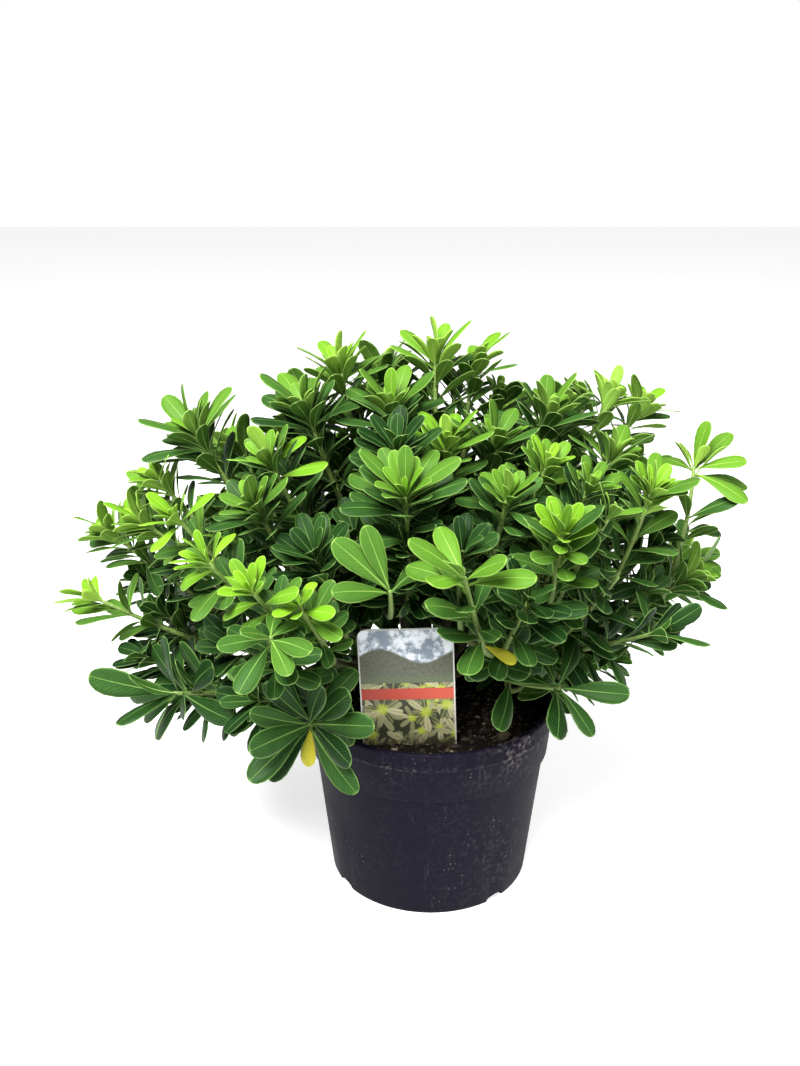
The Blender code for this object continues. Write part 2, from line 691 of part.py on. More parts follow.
def choose_leaves(index, owner, path, solids):
    """Leaves of a shoot, each turned or shortened until it is clear of all that is placed."""
    row = SHOOTS[index]
    draw = random.Random(SEED + 17 * index)
    if index + 1 in FRONT_LEAVES:
        facing = MORE_FACING.get(index + 1, FRONT_FACING)
        plans = front_plans(path, row, FRONT_LEAVES[index + 1], facing, draw)
    else:
        plans = spiral_plans(path, row, draw)
    placed = []
    own = []
    for plan in plans:
        for trial in trials(plan, leaf_spot(path, plan.share)[1]):
            test = Piece(owner, leaf_blade(path, trial, CLEARANCE, CLEAR_FROM))
            if any(other.owner != owner and test.meets(other) for other in solids):
                continue
            outer = Piece(owner, leaf_blade(path, trial, OWN_CLEARANCE, OWN_CLEAR_FROM))
            if any(outer.meets(other) for other in own):
                continue
            placed.append(trial)
            own.append(outer)
            solids.append(Piece(owner, leaf_blade(path, trial, 0.0)))
            break
    return placed


def stem_radii():
    radii = []
    for i in range(STEM_STEPS + 1):
        share = i / STEM_STEPS
        radii.append((TWIG_RADII[1] + (STEM_TIP_RADIUS - TWIG_RADII[1]) * share) * MM)
    return radii


def pot_piece():
    return turned(((0.0, 0.0),) + POT_OUTSIDE + POT_INSIDE + ((0.0, 2.4),), POT_SIDES)


def make_pot(material):
    pot = new_object("pot", pot_piece(), material)
    notches = []
    middle = 0.5 * (NOTCH_INNER + NOTCH_OUTER) * MM
    depth = (NOTCH_OUTER - NOTCH_INNER) * MM
    for bearing in NOTCH_BEARINGS:
        angle = math.radians(bearing - 90.0)
        centre = (middle * math.cos(angle), middle * math.sin(angle), 0.0)
        size = (depth, NOTCH_WIDTH * MM, 2.0 * NOTCH_HEIGHT * MM)
        notches.append(new_object("notch", boxed(size, centre, angle), None))
    apply_boolean(pot, "DIFFERENCE", notches)
    smooth_round(pot)


def soil_piece():
    fit = FIT_GAP + 0.05
    (wall_radius, wall_height) = POT_INSIDE[2]
    (shelf_radius, shelf_height) = POT_INSIDE[3]
    (low_radius, low_height) = POT_INSIDE[4]
    profile = (
        (0.0, POT_INSIDE[5][1] + fit),
        (POT_INSIDE[5][0] - fit, POT_INSIDE[5][1] + fit),
        (low_radius - fit, low_height + fit),
        (shelf_radius - fit, shelf_height),
        (wall_radius - fit, wall_height + fit),
        (wall_radius - fit + 0.2, SOIL_EDGE_HEIGHT),
    )
    hole = (
        (STEM_HOLE_RADIUS, SOIL_CENTRE_HEIGHT),
        (STEM_HOLE_RADIUS, STEM_HOLE_FLOOR),
        (0.0, STEM_HOLE_FLOOR),
    )
    return turned(profile + (SOIL_SHOULDER,) + hole, POT_SIDES)


def tag_outline():
    """Outline of the picture tag in mm: pointed foot, straight sides, rounded top corners."""
    half = 0.5 * TAG_WIDTH
    right = [(0.0, -TAG_POINT), (half, -TAG_SHOULDER), (half, TAG_TOP - TAG_CORNER)]
    for i in range(1, 4):
        angle = math.radians(30.0 * i)
        x = half - TAG_CORNER + TAG_CORNER * math.cos(angle)
        z = TAG_TOP - TAG_CORNER + TAG_CORNER * math.sin(angle)
        right.append((x, z))
    left = [(-x, z) for x, z in reversed(right) if x > 0.0]
    return right + left


def tag_piece(grow):
    """The tag as a plate; grow widens it on all sides, in mm, to cut its slot."""
    outline = tag_outline()
    centre_height = 0.5 * TAG_TOP
    points = []
    for depth in (-0.5, 0.5):
        for x, z in outline:
            wide = x * (1.0 + 2.0 * grow / TAG_WIDTH)
            tall = centre_height + (z - centre_height) * (1.0 + 2.0 * grow / TAG_TOP)
            points.append(Vector((wide, depth * (TAG_THICKNESS + 2.0 * grow), tall)) * MM)
    count = len(outline)
    faces = [tuple(range(count)), tuple(reversed(range(count, 2 * count)))]
    for i in range(count):
        j = (i + 1) % count
        faces.append((j, i, i + count, j + count))
    roll = math.radians(TAG_ROLL)
    yaw = math.radians(TAG_YAW)
    foot = Vector(TAG_FOOT) * CM
    placed = []
    for p in points:
        x = p.x * math.cos(roll) + p.z * math.sin(roll)
        z = -p.x * math.sin(roll) + p.z * math.cos(roll)
        placed.append(
            foot
            + Vector((x * math.cos(yaw) - p.y * math.sin(yaw), x * math.sin(yaw) + p.y * math.cos(yaw), z))
        )
    return placed, faces


def branch_pieces(shoot_rows):
    """Trunk, one limb to each fork and one twig to the foot of each shoot."""
    crown = Vector(CROWN) * CM
    foot = Vector((0.0, 0.0, TRUNK_FOOT * MM))
    bend = Vector((0.0, 0.0, TRUNK_BEND * MM))
    radii = [TRUNK_RADIUS * MM, TRUNK_RADIUS * MM, CROWN_RADIUS * MM]
    pieces = [tube([foot, bend, crown], radii, TRUNK_SIDES)]
    ways = {}
    for letter, fork in FORKS.items():
        end = Vector(fork) * CM
        flat = Vector((end.x, end.y, 0.0)).normalized()
        start = crown - UP * (6.0 * MM) + flat * (1.5 * MM)
        way = (end - start).normalized()
        start_way = (flat * 0.5 + UP * 0.6).normalized()
        ways[letter] = (end - start).normalized()
        radii = [LIMB_RADII[0] * MM, 0.5 * sum(LIMB_RADII) * MM, LIMB_RADII[1] * MM]
        path = curve(start, start_way, end + way * (2.0 * MM), way, 2)
        pieces.append(tube(path, radii, LIMB_SIDES))
    for row in shoot_rows:
        path, foot_way = shoot_frame(row)
        end = path[0] - foot_way * (JOINT_GAP * MM)
        fork = Vector(FORKS[row.fork]) * CM
        way = (ways[row.fork] * 0.5 + (end - fork).normalized() * 0.5).normalized()
        start = fork - ways[row.fork] * (1.0 * MM)
        radii = [TWIG_RADII[0] * MM, 0.5 * sum(TWIG_RADII) * MM, TWIG_RADII[1] * MM]
        path = curve(start, way, end, foot_way, 2)
        pieces.append(tube(path, radii, STEM_SIDES, last_way=foot_way))
    return pieces


def shoot_name(index):
    return f"leafy_shoot_{index + 1:02d}"


def make_shoots(materials, solids):
    """Stems first, so that every leaf is kept clear of every stem."""
    paths = []
    for index, row in enumerate(SHOOTS):
        path, foot_way = shoot_frame(row)
        stem = tube(path, stem_radii(), STEM_SIDES, first_way=foot_way)
        paths.append((path, stem))
        solids.append(Piece(shoot_name(index), stem))
    for index, row in enumerate(SHOOTS):
        name = shoot_name(index)
        path, stem = paths[index]
        plans = choose_leaves(index, name, path, solids)
        material = materials[row.tone]
        shoot = new_object(name, stem, material)
        blades = [new_object("blade", leaf_blade(path, plan, 0.0), material) for plan in plans]
        apply_boolean(shoot, "UNION", blades)


def main():
    clear_scene()
    black = new_material("black_pot_plastic", (0.018, 0.017, 0.022, 1.0), 0.6)
    earth = new_material("dark_compost", (0.022, 0.014, 0.009, 1.0), 0.95)
    card = new_material("tag_print", (0.32, 0.30, 0.24, 1.0), 0.35)
    bark = new_material("green_brown_bark", (0.10, 0.10, 0.04, 1.0), 0.7)
    leaves = {}
    for tone, colour in TONES.items():
        leaves[tone] = new_material(tone + "_leaf", colour, 0.38)

    solids = [Piece("pot", pot_piece()), Piece("soil", soil_piece())]
    solids.append(Piece("plant_tag", tag_piece(0.0)))
    make_pot(black)

    soil = new_object("soil", soil_piece(), earth)
    slot = new_object("slot", tag_piece(TAG_SLOT), None)
    apply_boolean(soil, "DIFFERENCE", [slot])
    smooth_round(soil)
    new_object("plant_tag", tag_piece(0.0), card)

    pieces = branch_pieces(SHOOTS)
    for piece in pieces:
        solids.append(Piece("branches", piece))
    branches = new_object("branches", pieces[0], bark)
    apply_boolean(branches, "UNION", [new_object("limb", piece, bark) for piece in pieces[1:]])
    smooth_round(branches)
    make_shoots(leaves, solids)


main()
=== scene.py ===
import math
import random
from collections import namedtuple

import bpy
import numpy as np
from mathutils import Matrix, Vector, noise
from mathutils.bvhtree import BVHTree


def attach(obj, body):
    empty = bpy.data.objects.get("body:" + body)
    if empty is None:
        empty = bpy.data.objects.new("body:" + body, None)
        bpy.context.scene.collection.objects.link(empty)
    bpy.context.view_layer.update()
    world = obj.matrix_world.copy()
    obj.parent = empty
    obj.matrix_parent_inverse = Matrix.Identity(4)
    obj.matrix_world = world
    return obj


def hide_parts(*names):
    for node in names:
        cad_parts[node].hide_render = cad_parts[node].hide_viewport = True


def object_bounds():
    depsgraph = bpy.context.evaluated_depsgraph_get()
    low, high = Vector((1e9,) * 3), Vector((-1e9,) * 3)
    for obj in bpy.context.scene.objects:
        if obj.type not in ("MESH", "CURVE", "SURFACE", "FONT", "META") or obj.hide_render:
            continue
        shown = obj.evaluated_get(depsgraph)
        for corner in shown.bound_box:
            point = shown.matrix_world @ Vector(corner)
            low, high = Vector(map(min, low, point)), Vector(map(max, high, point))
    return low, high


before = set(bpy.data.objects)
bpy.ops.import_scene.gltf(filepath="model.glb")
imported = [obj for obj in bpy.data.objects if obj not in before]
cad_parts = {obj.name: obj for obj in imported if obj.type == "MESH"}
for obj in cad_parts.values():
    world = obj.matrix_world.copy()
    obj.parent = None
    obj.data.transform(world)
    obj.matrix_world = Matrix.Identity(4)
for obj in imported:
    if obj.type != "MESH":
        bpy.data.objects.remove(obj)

# Potted dwarf pittosporum: fine foliage, stems, bark, compost, pot and tag around the CAD frame.
# The tables and the rules for stems and leaves repeat those of the CAD part, so each of its leaves
# is replaced by a finer one in the same place, and further leaves fill the rosettes between them.

CAD_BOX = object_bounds()
MM = 0.001
CM = 0.01
UP = Vector((0.0, 0.0, 1.0))

# Woody framework: crown in cm, radii in mm, forks in cm.
CROWN = (0.0, 0.4, 15.6)
TRUNK_FOOT = 114.3
TRUNK_BEND = 139.0
TRUNK_RADIUS = 8.5
CROWN_RADIUS = 7.6
TRUNK_SIDES = 8
LIMB_RADII = (4.6, 3.3)
TWIG_RADII = (2.7, 2.2)
STEM_RADII = (2.2, 1.4)
JOINT_GAP = 0.3
STEM_STEPS = 2
STEM_SIDES = 4
LIMB_SIDES = 5
FORKS = {
    "a": (-9.0, -0.5, 18.6),
    "b": (-7.5, -1.5, 22.0),
    "c": (-7.4, -4.8, 19.6),
    "d": (-4.0, -2.6, 24.4),
    "e": (-2.6, 0.6, 25.0),
    "f": (1.6, 1.6, 25.0),
    "g": (4.8, -5.0, 20.4),
    "h": (8.0, -3.0, 21.2),
    "i": (9.2, 0.6, 19.0),
    "j": (6.0, 4.0, 24.0),
    "k": (6.0, 7.0, 19.4),
    "l": (-3.0, 6.0, 22.0),
    "m": (-8.0, 6.0, 19.6),
}

# Leaf blade: thickness in mm, width as a share of the length, and the outline rows from root to
# tip as (share of the length, share of the half width).
LEAF_THICKNESS = 0.8
LEAF_WIDTH_SHARE = 0.34
LEAF_SHOULDER = (0.44, 0.66)
LEAF_BELLY = (0.77, 1.0)
LEAF_END = (0.985, 0.36)
# Bend of an old blade in degrees, what a young one has less by either leaf rule, and the lift of
# the edges as a share of the half width.
OLD_ARCH = 30.0
ARCH_LOSS = (12.0, 14.0)
CUP = (-0.1, 0.26)

# General rule for a shoot: leaves in a spiral, angles from the stem in degrees, lowest to top.
SPIRAL_LEAVES = 6
GOLDEN_ANGLE = 137.5
SPIRAL_PITCH = (68.0, 24.0)
SPIRAL_SHARE = 0.55

# Placing: leaves keep CLEARANCE mm from other pieces, by turning, lifting and shortening in steps.
CLEARANCE = 0.7
OWN_CLEARANCE = 0.25
# Share of a leaf's length from which it is kept clear of other pieces, and of its own shoot's leaves.
CLEAR_FROM = 0.04
OWN_CLEAR_FROM = 0.3
TRY_SCALES = (1.0, 0.88, 0.76)
TRY_TURNS = (0, 10, -10, 20, -20, 32, -32, 44, -44)
TRY_RAISES = (0, -10, 10, -20)
# Leafy shoots: fork letter, tip in cm, stem length and leaf length in mm, tone, then the lean from
# upright and its bearing in degrees where the place of the tip doesn't give them. The spin turns
# the leaf spiral of a shoot that follows the general rule.
Shoot = namedtuple("Shoot", "fork tip stem leaf tone lean bearing spin", defaults=(None, None, 0))
SHOOTS = (
    Shoot("f", (0.3, 4.0, 40.4), 80, 46, "fresh"),
    Shoot("f", (3.2, 6.0, 39.8), 75, 44, "fresh"),
    Shoot("e", (-6.8, 4.0, 39.6), 80, 46, "fresh"),
    Shoot("e", (-8.9, -1.0, 37.6), 75, 50, "mid"),
    Shoot("e", (-2.9, 0.0, 37.4), 75, 48, "mid"),
    Shoot("b", (-17.1, 0.0, 35.6), 85, 50, "mid"),
    Shoot("d", (-11.2, -5.0, 34.9), 75, 44, "mid"),
    Shoot("e", (0.9, -3.0, 35.6), 70, 44, "fresh"),
    Shoot("d", (-2.0, -9.0, 33.8), 80, 52, "mid"),
    Shoot("j", (8.4, 2.0, 36.4), 80, 50, "mid"),
    Shoot("f", (4.4, -1.0, 35.2), 70, 46, "mid"),
    Shoot("j", (14.2, 9.0, 36.2), 80, 42, "fresh"),
    Shoot("j", (17.1, 11.0, 35.0), 80, 42, "fresh"),
    Shoot("h", (13.1, 0.0, 33.8), 80, 46, "mid"),
    Shoot("i", (19.8, 2.0, 32.8), 105, 46, "fresh", lean=14.0, bearing=80.0),
    Shoot("h", (14.8, -6.0, 33.0), 90, 44, "fresh", lean=20.0, bearing=-70.0),
    Shoot("g", (4.8, -8.0, 33.2), 75, 44, "mid"),
    Shoot("h", (7.9, -13.0, 32.4), 90, 46, "fresh", lean=27.0, bearing=-88.0),
    Shoot("g", (1.6, -16.0, 30.8), 80, 50, "fresh", lean=30.0, bearing=-112.0),
    Shoot("b", (-17.2, -8.0, 31.8), 75, 42, "fresh"),
    Shoot("b", (-19.8, -1.6, 32.8), 75, 38, "fresh"),
    Shoot("a", (-24.0, 0.4, 28.0), 80, 42, "fresh"),
    Shoot("a", (-24.2, -4.0, 24.4), 80, 42, "fresh"),
    Shoot("b", (-14.6, -12.4, 30.4), 75, 42, "fresh"),
    Shoot("c", (-11.4, -15.6, 29.6), 70, 40, "fresh"),
    Shoot("c", (-8.7, -15.2, 28.6), 70, 38, "fresh"),
    Shoot("c", (-10.2, -18.0, 27.7), 60, 44, "mid", lean=34.0, bearing=-90.0),
    Shoot("c", (-8.4, -13.6, 19.4), 55, 56, "dark", lean=78.0),
    Shoot("a", (-18.3, -8.8, 19.3), 70, 54, "dark", lean=76.0),
    Shoot("g", (8.6, -10.6, 20.6), 55, 52, "dark", lean=70.0),
    Shoot("h", (15.2, -8.6, 23.8), 70, 46, "dark", lean=62.0),
    Shoot("i", (19.0, -1.6, 25.2), 75, 46, "mid"),
    Shoot("d", (-3.0, -13.0, 28.7), 70, 48, "mid", lean=48.0, bearing=-92.0),
    Shoot("b", (-12.0, -8.0, 32.6), 65, 44, "mid"),
    Shoot("b", (-21.0, -2.4, 29.8), 65, 40, "fresh", lean=50.0),
    Shoot("b", (-14.6, 5.6, 32.4), 75, 48, "mid", spin=95),
    Shoot("l", (-3.6, 9.6, 38.0), 75, 50, "mid", spin=10),
    Shoot("l", (-9.6, 13.4, 34.8), 80, 50, "mid", spin=35),
    Shoot("j", (6.6, 13.0, 33.0), 75, 50, "mid", spin=65),
    Shoot("l", (-1.6, 17.6, 31.6), 85, 50, "mid", spin=20),
    Shoot("k", (9.6, 17.4, 29.8), 85, 50, "mid", spin=95),
    Shoot("k", (17.6, 13.6, 28.4), 85, 50, "mid", spin=50),
    Shoot("m", (-16.8, 12.2, 30.4), 85, 50, "mid", spin=5),
    Shoot("m", (-22.6, 7.4, 27.0), 85, 48, "mid", spin=70),
    Shoot("i", (20.4, 8.0, 22.8), 75, 48, "mid", spin=40),
    Shoot("k", (13.6, 18.2, 22.6), 80, 52, "dark", spin=15),
    Shoot("k", (3.4, 20.6, 24.8), 80, 52, "mid", spin=85),
    Shoot("l", (-7.8, 19.6, 25.6), 80, 52, "mid", spin=30),
    Shoot("m", (-17.2, 14.2, 21.6), 75, 52, "dark", spin=60),
    Shoot("m", (-8.2, 15.6, 19.2), 60, 54, "dark", lean=74.0, spin=25),
    Shoot("k", (6.2, 15.4, 19.4), 60, 54, "dark", lean=74.0, spin=75),
    Shoot("i", (17.4, 7.4, 19.2), 65, 52, "dark", lean=74.0),
    Shoot("a", (-18.6, 4.6, 19.6), 70, 52, "dark", lean=74.0, spin=50),
)

# Leaves set one by one on the shoots that show at the front, by shoot number: share of the stem,
# clock angle in the front view (0 right, 90 up), and reach across that view in mm, negative on
# leaves that head away from the viewer. The front view looks down by VIEW_TILT.
VIEW_TILT = 19.0
# How far the upper sides of leaves turn up, towards the viewer where they are set one by one, and outwards
# from the bush elsewhere, as shares of how far they turn to the stem; MORE_FACING is by shoot number.
UP_FACING = 0.25
FRONT_FACING = 0.35
MORE_FACING = {15: 1.6, 29: 0.8, 30: 0.6}
OUTER_FACING = 0.35
FRONT_LEAVES = {
    1: ((0.96, 133, -40), (0.9, 155, 38), (0.99, 96, 34), (0.98, 76, -34), (0.96, 50, 42), (0.85, 25, -36)),
    2: ((0.96, 42, 38), (0.98, 66, -36), (0.99, 95, 32), (0.85, 12, 34), (0.9, 140, -34)),
    3: ((0.97, 58, 36), (0.97, 122, -34), (0.99, 90, 30), (0.9, 40, -38), (0.92, 147, 40), (0.85, 20, 36)),
    4: ((0.95, 139, 46), (0.96, 122, -42), (1.0, 92, 26), (0.97, 68, 36), (0.88, 150, -46), (0.85, 35, -42),
        (0.8, 172, 44)),
    5: ((0.98, 127, 40), (1.0, 93, 32), (0.98, 74, -40), (0.95, 47, 44), (0.9, 150, -42), (0.88, 28, -44),
        (0.8, 170, 44)),
    6: ((0.99, 104, 40), (0.99, 84, -36), (0.97, 64, -46), (0.96, 50, 44), (0.96, 131, -46),
        (0.93, 160, 47), (0.85, 188, 47)),
    7: ((0.98, 116, 30), (1.0, 86, 22), (0.97, 46, -32), (0.93, 168, 30), (0.85, 190, -40), (0.85, 10, 36)),
    8: ((1.0, 92, 22), (0.97, 120, -34), (0.96, 52, 34), (0.97, 75, -30), (0.92, 150, 34), (0.9, 25, 36)),
    9: ((0.98, 136, 44), (0.99, 114, -38), (1.0, 90, 34), (0.98, 58, -40), (0.96, 38, 46), (0.9, 150, -46),
        (0.88, 24, 44), (0.8, 172, 46)),
    10: ((0.98, 86, -38), (0.96, 58, 44), (0.97, 126, 38), (0.99, 105, 28), (0.85, 20, 42),
        (0.88, 155, -44), (0.8, 35, -42)),
    11: ((0.99, 94, 34), (0.97, 58, -36), (0.95, 130, 36), (0.9, 155, 40), (0.88, 30, 38)),
    12: ((0.98, 100, -30), (0.98, 70, 32), (0.95, 45, -30), (0.94, 150, 32), (0.9, 10, 34)),
    13: ((0.97, 0, 36), (0.98, 38, -34), (0.99, 68, -28), (0.95, 100, 30), (0.85, 15, -38), (0.8, 160, 34)),
    14: ((1.0, 90, 24), (0.97, 127, -36), (0.96, 60, -36), (0.93, 146, 38), (0.9, 38, 40), (0.8, 165, -42),
        (0.8, 15, 40)),
    15: ((0.99, 76, 36), (0.97, 44, -44), (0.98, 9, 38), (0.93, -8, -46), (0.95, -33, 42), (0.96, 140, -20),
        (0.62, 22, 38), (0.52, 2, -36)),
    16: ((0.99, 90, 24), (0.96, 70, -36), (0.95, 130, 30), (0.94, 24, 32), (0.8, 42, -34), (0.74, 143, 26),
        (0.5, 50, -34)),
    17: ((1.0, 92, 20), (0.98, 120, -26), (0.97, 45, 28), (0.9, -30, 26), (0.85, 160, -34),
        (0.75, 20, -36)),
    18: ((0.9, 149, 31), (0.93, 46, 30), (0.86, 44, -34), (0.58, 92, 24), (0.98, 122, 18), (1.0, 82, 20),
        (0.55, 140, -34), (0.55, 45, 36)),
    19: ((0.95, 143, 45), (0.97, 117, -37), (0.98, 138, 18), (0.95, 179, 23), (0.96, 33, 27), (0.9, 10, 42),
        (0.86, 158, -40), (0.6, 20, -31), (0.45, 160, 36), (0.12, 24, -25), (0.1, 166, 30),
        (0.07, -134, 22)),
    20: ((0.99, 137, 28), (0.98, 36, 31), (0.96, 183, 24), (0.95, 235, 22), (0.8, -10, -30),
        (0.75, 210, -34)),
    21: ((0.98, 165, 24), (0.99, 115, -18), (0.98, 60, 20), (0.95, 185, -24), (0.8, 150, -34)),
    22: ((0.98, 155, 32), (0.96, 106, 26), (0.99, 143, -22), (0.85, 178, -34), (0.72, 188, -32),
        (0.6, -55, 30)),
    23: ((0.98, 163, 28), (0.96, 178, 30), (0.99, 125, -20), (0.8, 182, -40), (0.66, 186, 40),
        (0.7, 95, -30)),
    24: ((0.99, 132, 22), (0.99, 56, -24), (0.96, 172, 20), (0.9, 205, -32), (0.8, -15, 30),
        (0.7, 230, 30)),
    25: ((1.0, 74, 25), (1.0, 124, -19), (0.97, 172, 20), (0.85, 200, -30), (0.8, 20, 26), (0.7, -30, -30)),
    26: ((1.0, 118, 15), (1.0, 58, -17), (0.97, 170, 16), (0.88, 3, 22), (0.75, -20, 25), (0.8, 200, -22)),
    27: ((0.98, 92, -20), (0.97, 184, 30), (0.99, 160, 16), (0.9, 240, 32), (0.97, -52, 24),
        (0.94, -16, 32), (0.99, 40, -18)),
    28: ((1.0, -54, 54), (0.96, 6, 44), (0.9, -16, -40), (0.97, 50, -46), (0.93, 122, -40), (0.97, 166, 40),
        (0.92, 194, 40), (0.99, 222, 52), (0.86, 203, -50)),
    29: ((1.0, 165, 58), (0.95, 183, -44), (0.93, 206, 40), (0.96, 148, 30), (0.9, -22, 42),
        (0.85, 120, -34), (0.8, 52, 34)),
    30: ((1.0, -5, 46), (0.98, -55, 38), (0.9, 208, -22), (0.95, 58, -36), (0.93, 112, -36),
        (0.9, 165, -38), (0.9, -100, 28), (0.04, -109, 32)),
    31: ((0.98, 30, 38), (0.95, -8, 34), (0.8, 226, -32), (0.92, 152, -34), (0.85, 10, -36),
        (0.95, 88, -30)),
    32: ((0.98, 54, 40), (0.95, 18, -38), (0.95, 82, 30), (0.85, -25, 36), (0.75, -5, -40),
        (0.9, 130, -34)),
    33: ((0.98, 137, 50), (0.99, 112, 46), (0.94, 178, 37), (0.95, 38, -28)),
    34: ((0.95, 96, 24), (0.93, 150, -30), (0.95, 42, 30), (0.85, 190, 36), (0.85, 0, -36)),
    35: ((0.98, 153, 32), (0.98, 132, -26), (0.97, 108, 26), (0.95, 172, -28), (0.8, 200, 30)),
}

SEED = 41

# Rows and columns of a fine leaf: share of the length from root to tip, and place across it from
# one margin to the other. The outline widens to LEAF_WIDEST and then rounds off.
LEAF_ROWS = (0.0, 0.14, 0.3, 0.46, 0.62, 0.77, 0.875, 0.951, 0.985, 0.998)
PLAIN_ROWS = (0.0, 0.2, 0.44, 0.66, 0.83, 0.94, 0.992)
LEAF_COLUMNS = (-1.0, -0.55, 0.0, 0.55, 1.0)
LEAF_WIDEST = 0.75
LEAF_TAPER = 1.6
PETIOLE_SHARE = 0.07
BLADE_THICKNESS = 0.55
RIB_DEPTH = 0.3

# Mark of a withered leaf, in place of its youth.
WITHERED_YOUTH = -1.0
# Youth of a leaf, from 0 for the oldest to 1 for the youngest, by the tone of its shoot: at the
# tip of the stem, and well below it.
YOUTH = {"fresh": (0.94, 0.22), "mid": (0.64, 0.13), "dark": (0.2, 0.04)}

# Leaves that fill a rosette between those of the CAD: number, share of the stem, angle from the
# stem in degrees, size as a share of the leaf length, cup of the edges, and loss of youth, each
# from the first leaf of the ring to the last.
Ring = namedtuple("Ring", "count share pitch size cup older")
TIP_RINGS = (
    Ring(7, (1.0, 0.985), (6, 26), (0.32, 0.54), (0.55, 0.42), (-0.06, 0.04)),
    Ring(7, (0.975, 0.92), (28, 42), (0.56, 0.74), (0.36, 0.22), (0.08, 0.26)),
    Ring(8, (0.89, 0.72), (40, 54), (0.76, 0.86), (0.18, 0.02), (0.36, 0.56)),
    Ring(11, (0.66, 0.12), (50, 64), (0.88, 0.78), (0.0, -0.1), (0.6, 0.8)),
)
DARK_RINGS = TIP_RINGS[1:]
SMALL_RINGS = (TIP_RINGS[0]._replace(count=5), TIP_RINGS[1]._replace(count=4), TIP_RINGS[3])
OPEN_RINGS = (Ring(6, (0.97, 0.84), (62, 80), (0.8, 0.92), (0.1, 0.0), (0.1, 0.3)), TIP_RINGS[3])
SPARSE_RINGS = (Ring(5, (0.72, 0.25), (38, 50), (0.8, 0.7), (0.0, -0.1), (0.6, 0.8)),)
TWIG_RINGS = (Ring(8, (0.95, 0.25), (52, 66), (0.9, 0.76), (-0.04, -0.12), (0.8, 0.95)),)
# Rings of the shoots that show fewer leaves, by number, and the shoots whose twigs stay bare.
OTHER_RINGS = dict.fromkeys((15, 20, 23, 24, 25, 26, 31), SMALL_RINGS)
OTHER_RINGS.update({30: (), 33: (), 19: SPARSE_RINGS, 27: TIP_RINGS[3:], 28: OPEN_RINGS, 29: OPEN_RINGS})
BARE_TWIGS = (19, 30, 33)
# Youth at the tip for shoots that differ from the rest of their tone, by number.
TIP_YOUTH = {27: 0.42, 33: 0.5, 9: 0.52, 7: 0.9, 15: 0.74, 19: 0.52}
# Share of the stem from which leaves turn young, and the same for shoots with a small or a large
# heart.
YOUNG_FROM = 0.82
HEART_FROM = {18: 0.94, 16: 0.88, **dict.fromkeys((7, 19, 20, 21, 23, 24, 25, 26), 0.6)}
# Withered leaves by shoot number, each as in FRONT_LEAVES.
WITHERED = ((19, (0.02, -24, 25)), (28, (0.93, -98, -32)))
# An old leaf is this wide as a share of its length; a young one loses this share of that width.
OLD_WIDTH = 0.335
WIDTH_LOSS = 0.12

# Shoots that the CAD leaves out: those that show at the front, then a seeded fill of the crown.
MORE_SHOOTS = (
    Shoot("d", (-6.3, -10.0, 33.6), 70, 42, "fresh"),
    Shoot("h", (10.4, -7.0, 33.7), 75, 42, "mid"),
    Shoot("j", (7.7, -5.0, 34.6), 75, 42, "fresh"),
    Shoot("b", (-14.6, -4.0, 33.2), 70, 42, "mid"),
    Shoot("b", (-16.1, -1.0, 34.4), 70, 42, "fresh"),
    Shoot("h", (11.6, -9.0, 32.5), 75, 42, "mid"),
    Shoot("a", (-19.8, -2.6, 22.6), 60, 44, "dark", lean=44.0),
    Shoot("a", (-15.6, -5.6, 21.4), 55, 44, "dark", lean=48.0),
    Shoot("a", (-20.6, -1.0, 20.2), 55, 46, "dark", lean=48.0),
    Shoot("a", (-17.6, -5.0, 18.4), 50, 46, "dark", lean=54.0),
    Shoot("a", (-22.0, 3.0, 23.0), 60, 44, "dark", lean=44.0),
    Shoot("l", (-2.0, 12.5, 18.6), 50, 50, "dark", lean=72.0),
    Shoot("m", (-9.0, 9.5, 17.6), 50, 48, "dark", lean=72.0),
    Shoot("k", (3.0, 11.0, 17.4), 50, 48, "dark", lean=72.0),
    Shoot("l", (-2.0, 8.0, 25.5), 50, 46, "dark"),
    Shoot("k", (4.5, 9.0, 24.5), 50, 46, "dark"),
    Shoot("a", (-21.0, -4.4, 20.2), 45, 42, "dark", lean=44.0),
    Shoot("m", (-20.4, 3.4, 18.6), 50, 44, "dark", lean=52.0),
    Shoot("m", (-22.6, 2.0, 21.0), 50, 44, "dark", lean=46.0),
    Shoot("a", (-14.8, -2.6, 17.4), 40, 44, "dark", lean=56.0),
    Shoot("g", (10.4, -1.0, 18.4), 45, 42, "dark", lean=40.0),
    Shoot("h", (12.8, -2.0, 18.8), 45, 44, "dark", lean=50.0),
    Shoot("k", (12.0, 3.0, 17.0), 50, 46, "dark", lean=60.0),
    Shoot("f", (1.9, 7.0, 38.0), 55, 42, "mid"),
    Shoot("f", (5.4, 8.0, 36.8), 55, 42, "mid"),
    Shoot("e", (-0.8, 7.6, 36.6), 55, 42, "dark"),
    Shoot("e", (-5.5, 6.0, 36.6), 55, 42, "mid"),
    Shoot("e", (-9.4, 3.4, 37.0), 55, 42, "mid"),
    Shoot("j", (10.4, 6.0, 36.2), 55, 42, "mid"),
    Shoot("j", (12.6, 10.0, 35.6), 55, 42, "mid"),
)
# Dome that the shoot tips keep to: middle and half sizes in cm.
DOME_MIDDLE = (-0.5, 1.0, 18.0)
DOME_SIZE = (23.0, 19.0, 20.5)
FILL_TRIES = 1600
FILL_SHOOTS = 90
FILL_APART = 3.7
FILL_DEPTH = (0.5, 0.97)
FILL_MARGIN = ((-1.6, 0.0, 0.0), (1.6, 0.0, 0.0), (0.0, 0.0, 1.6), (0.0, 0.0, -1.0))
BOX_SLACK = 6.0
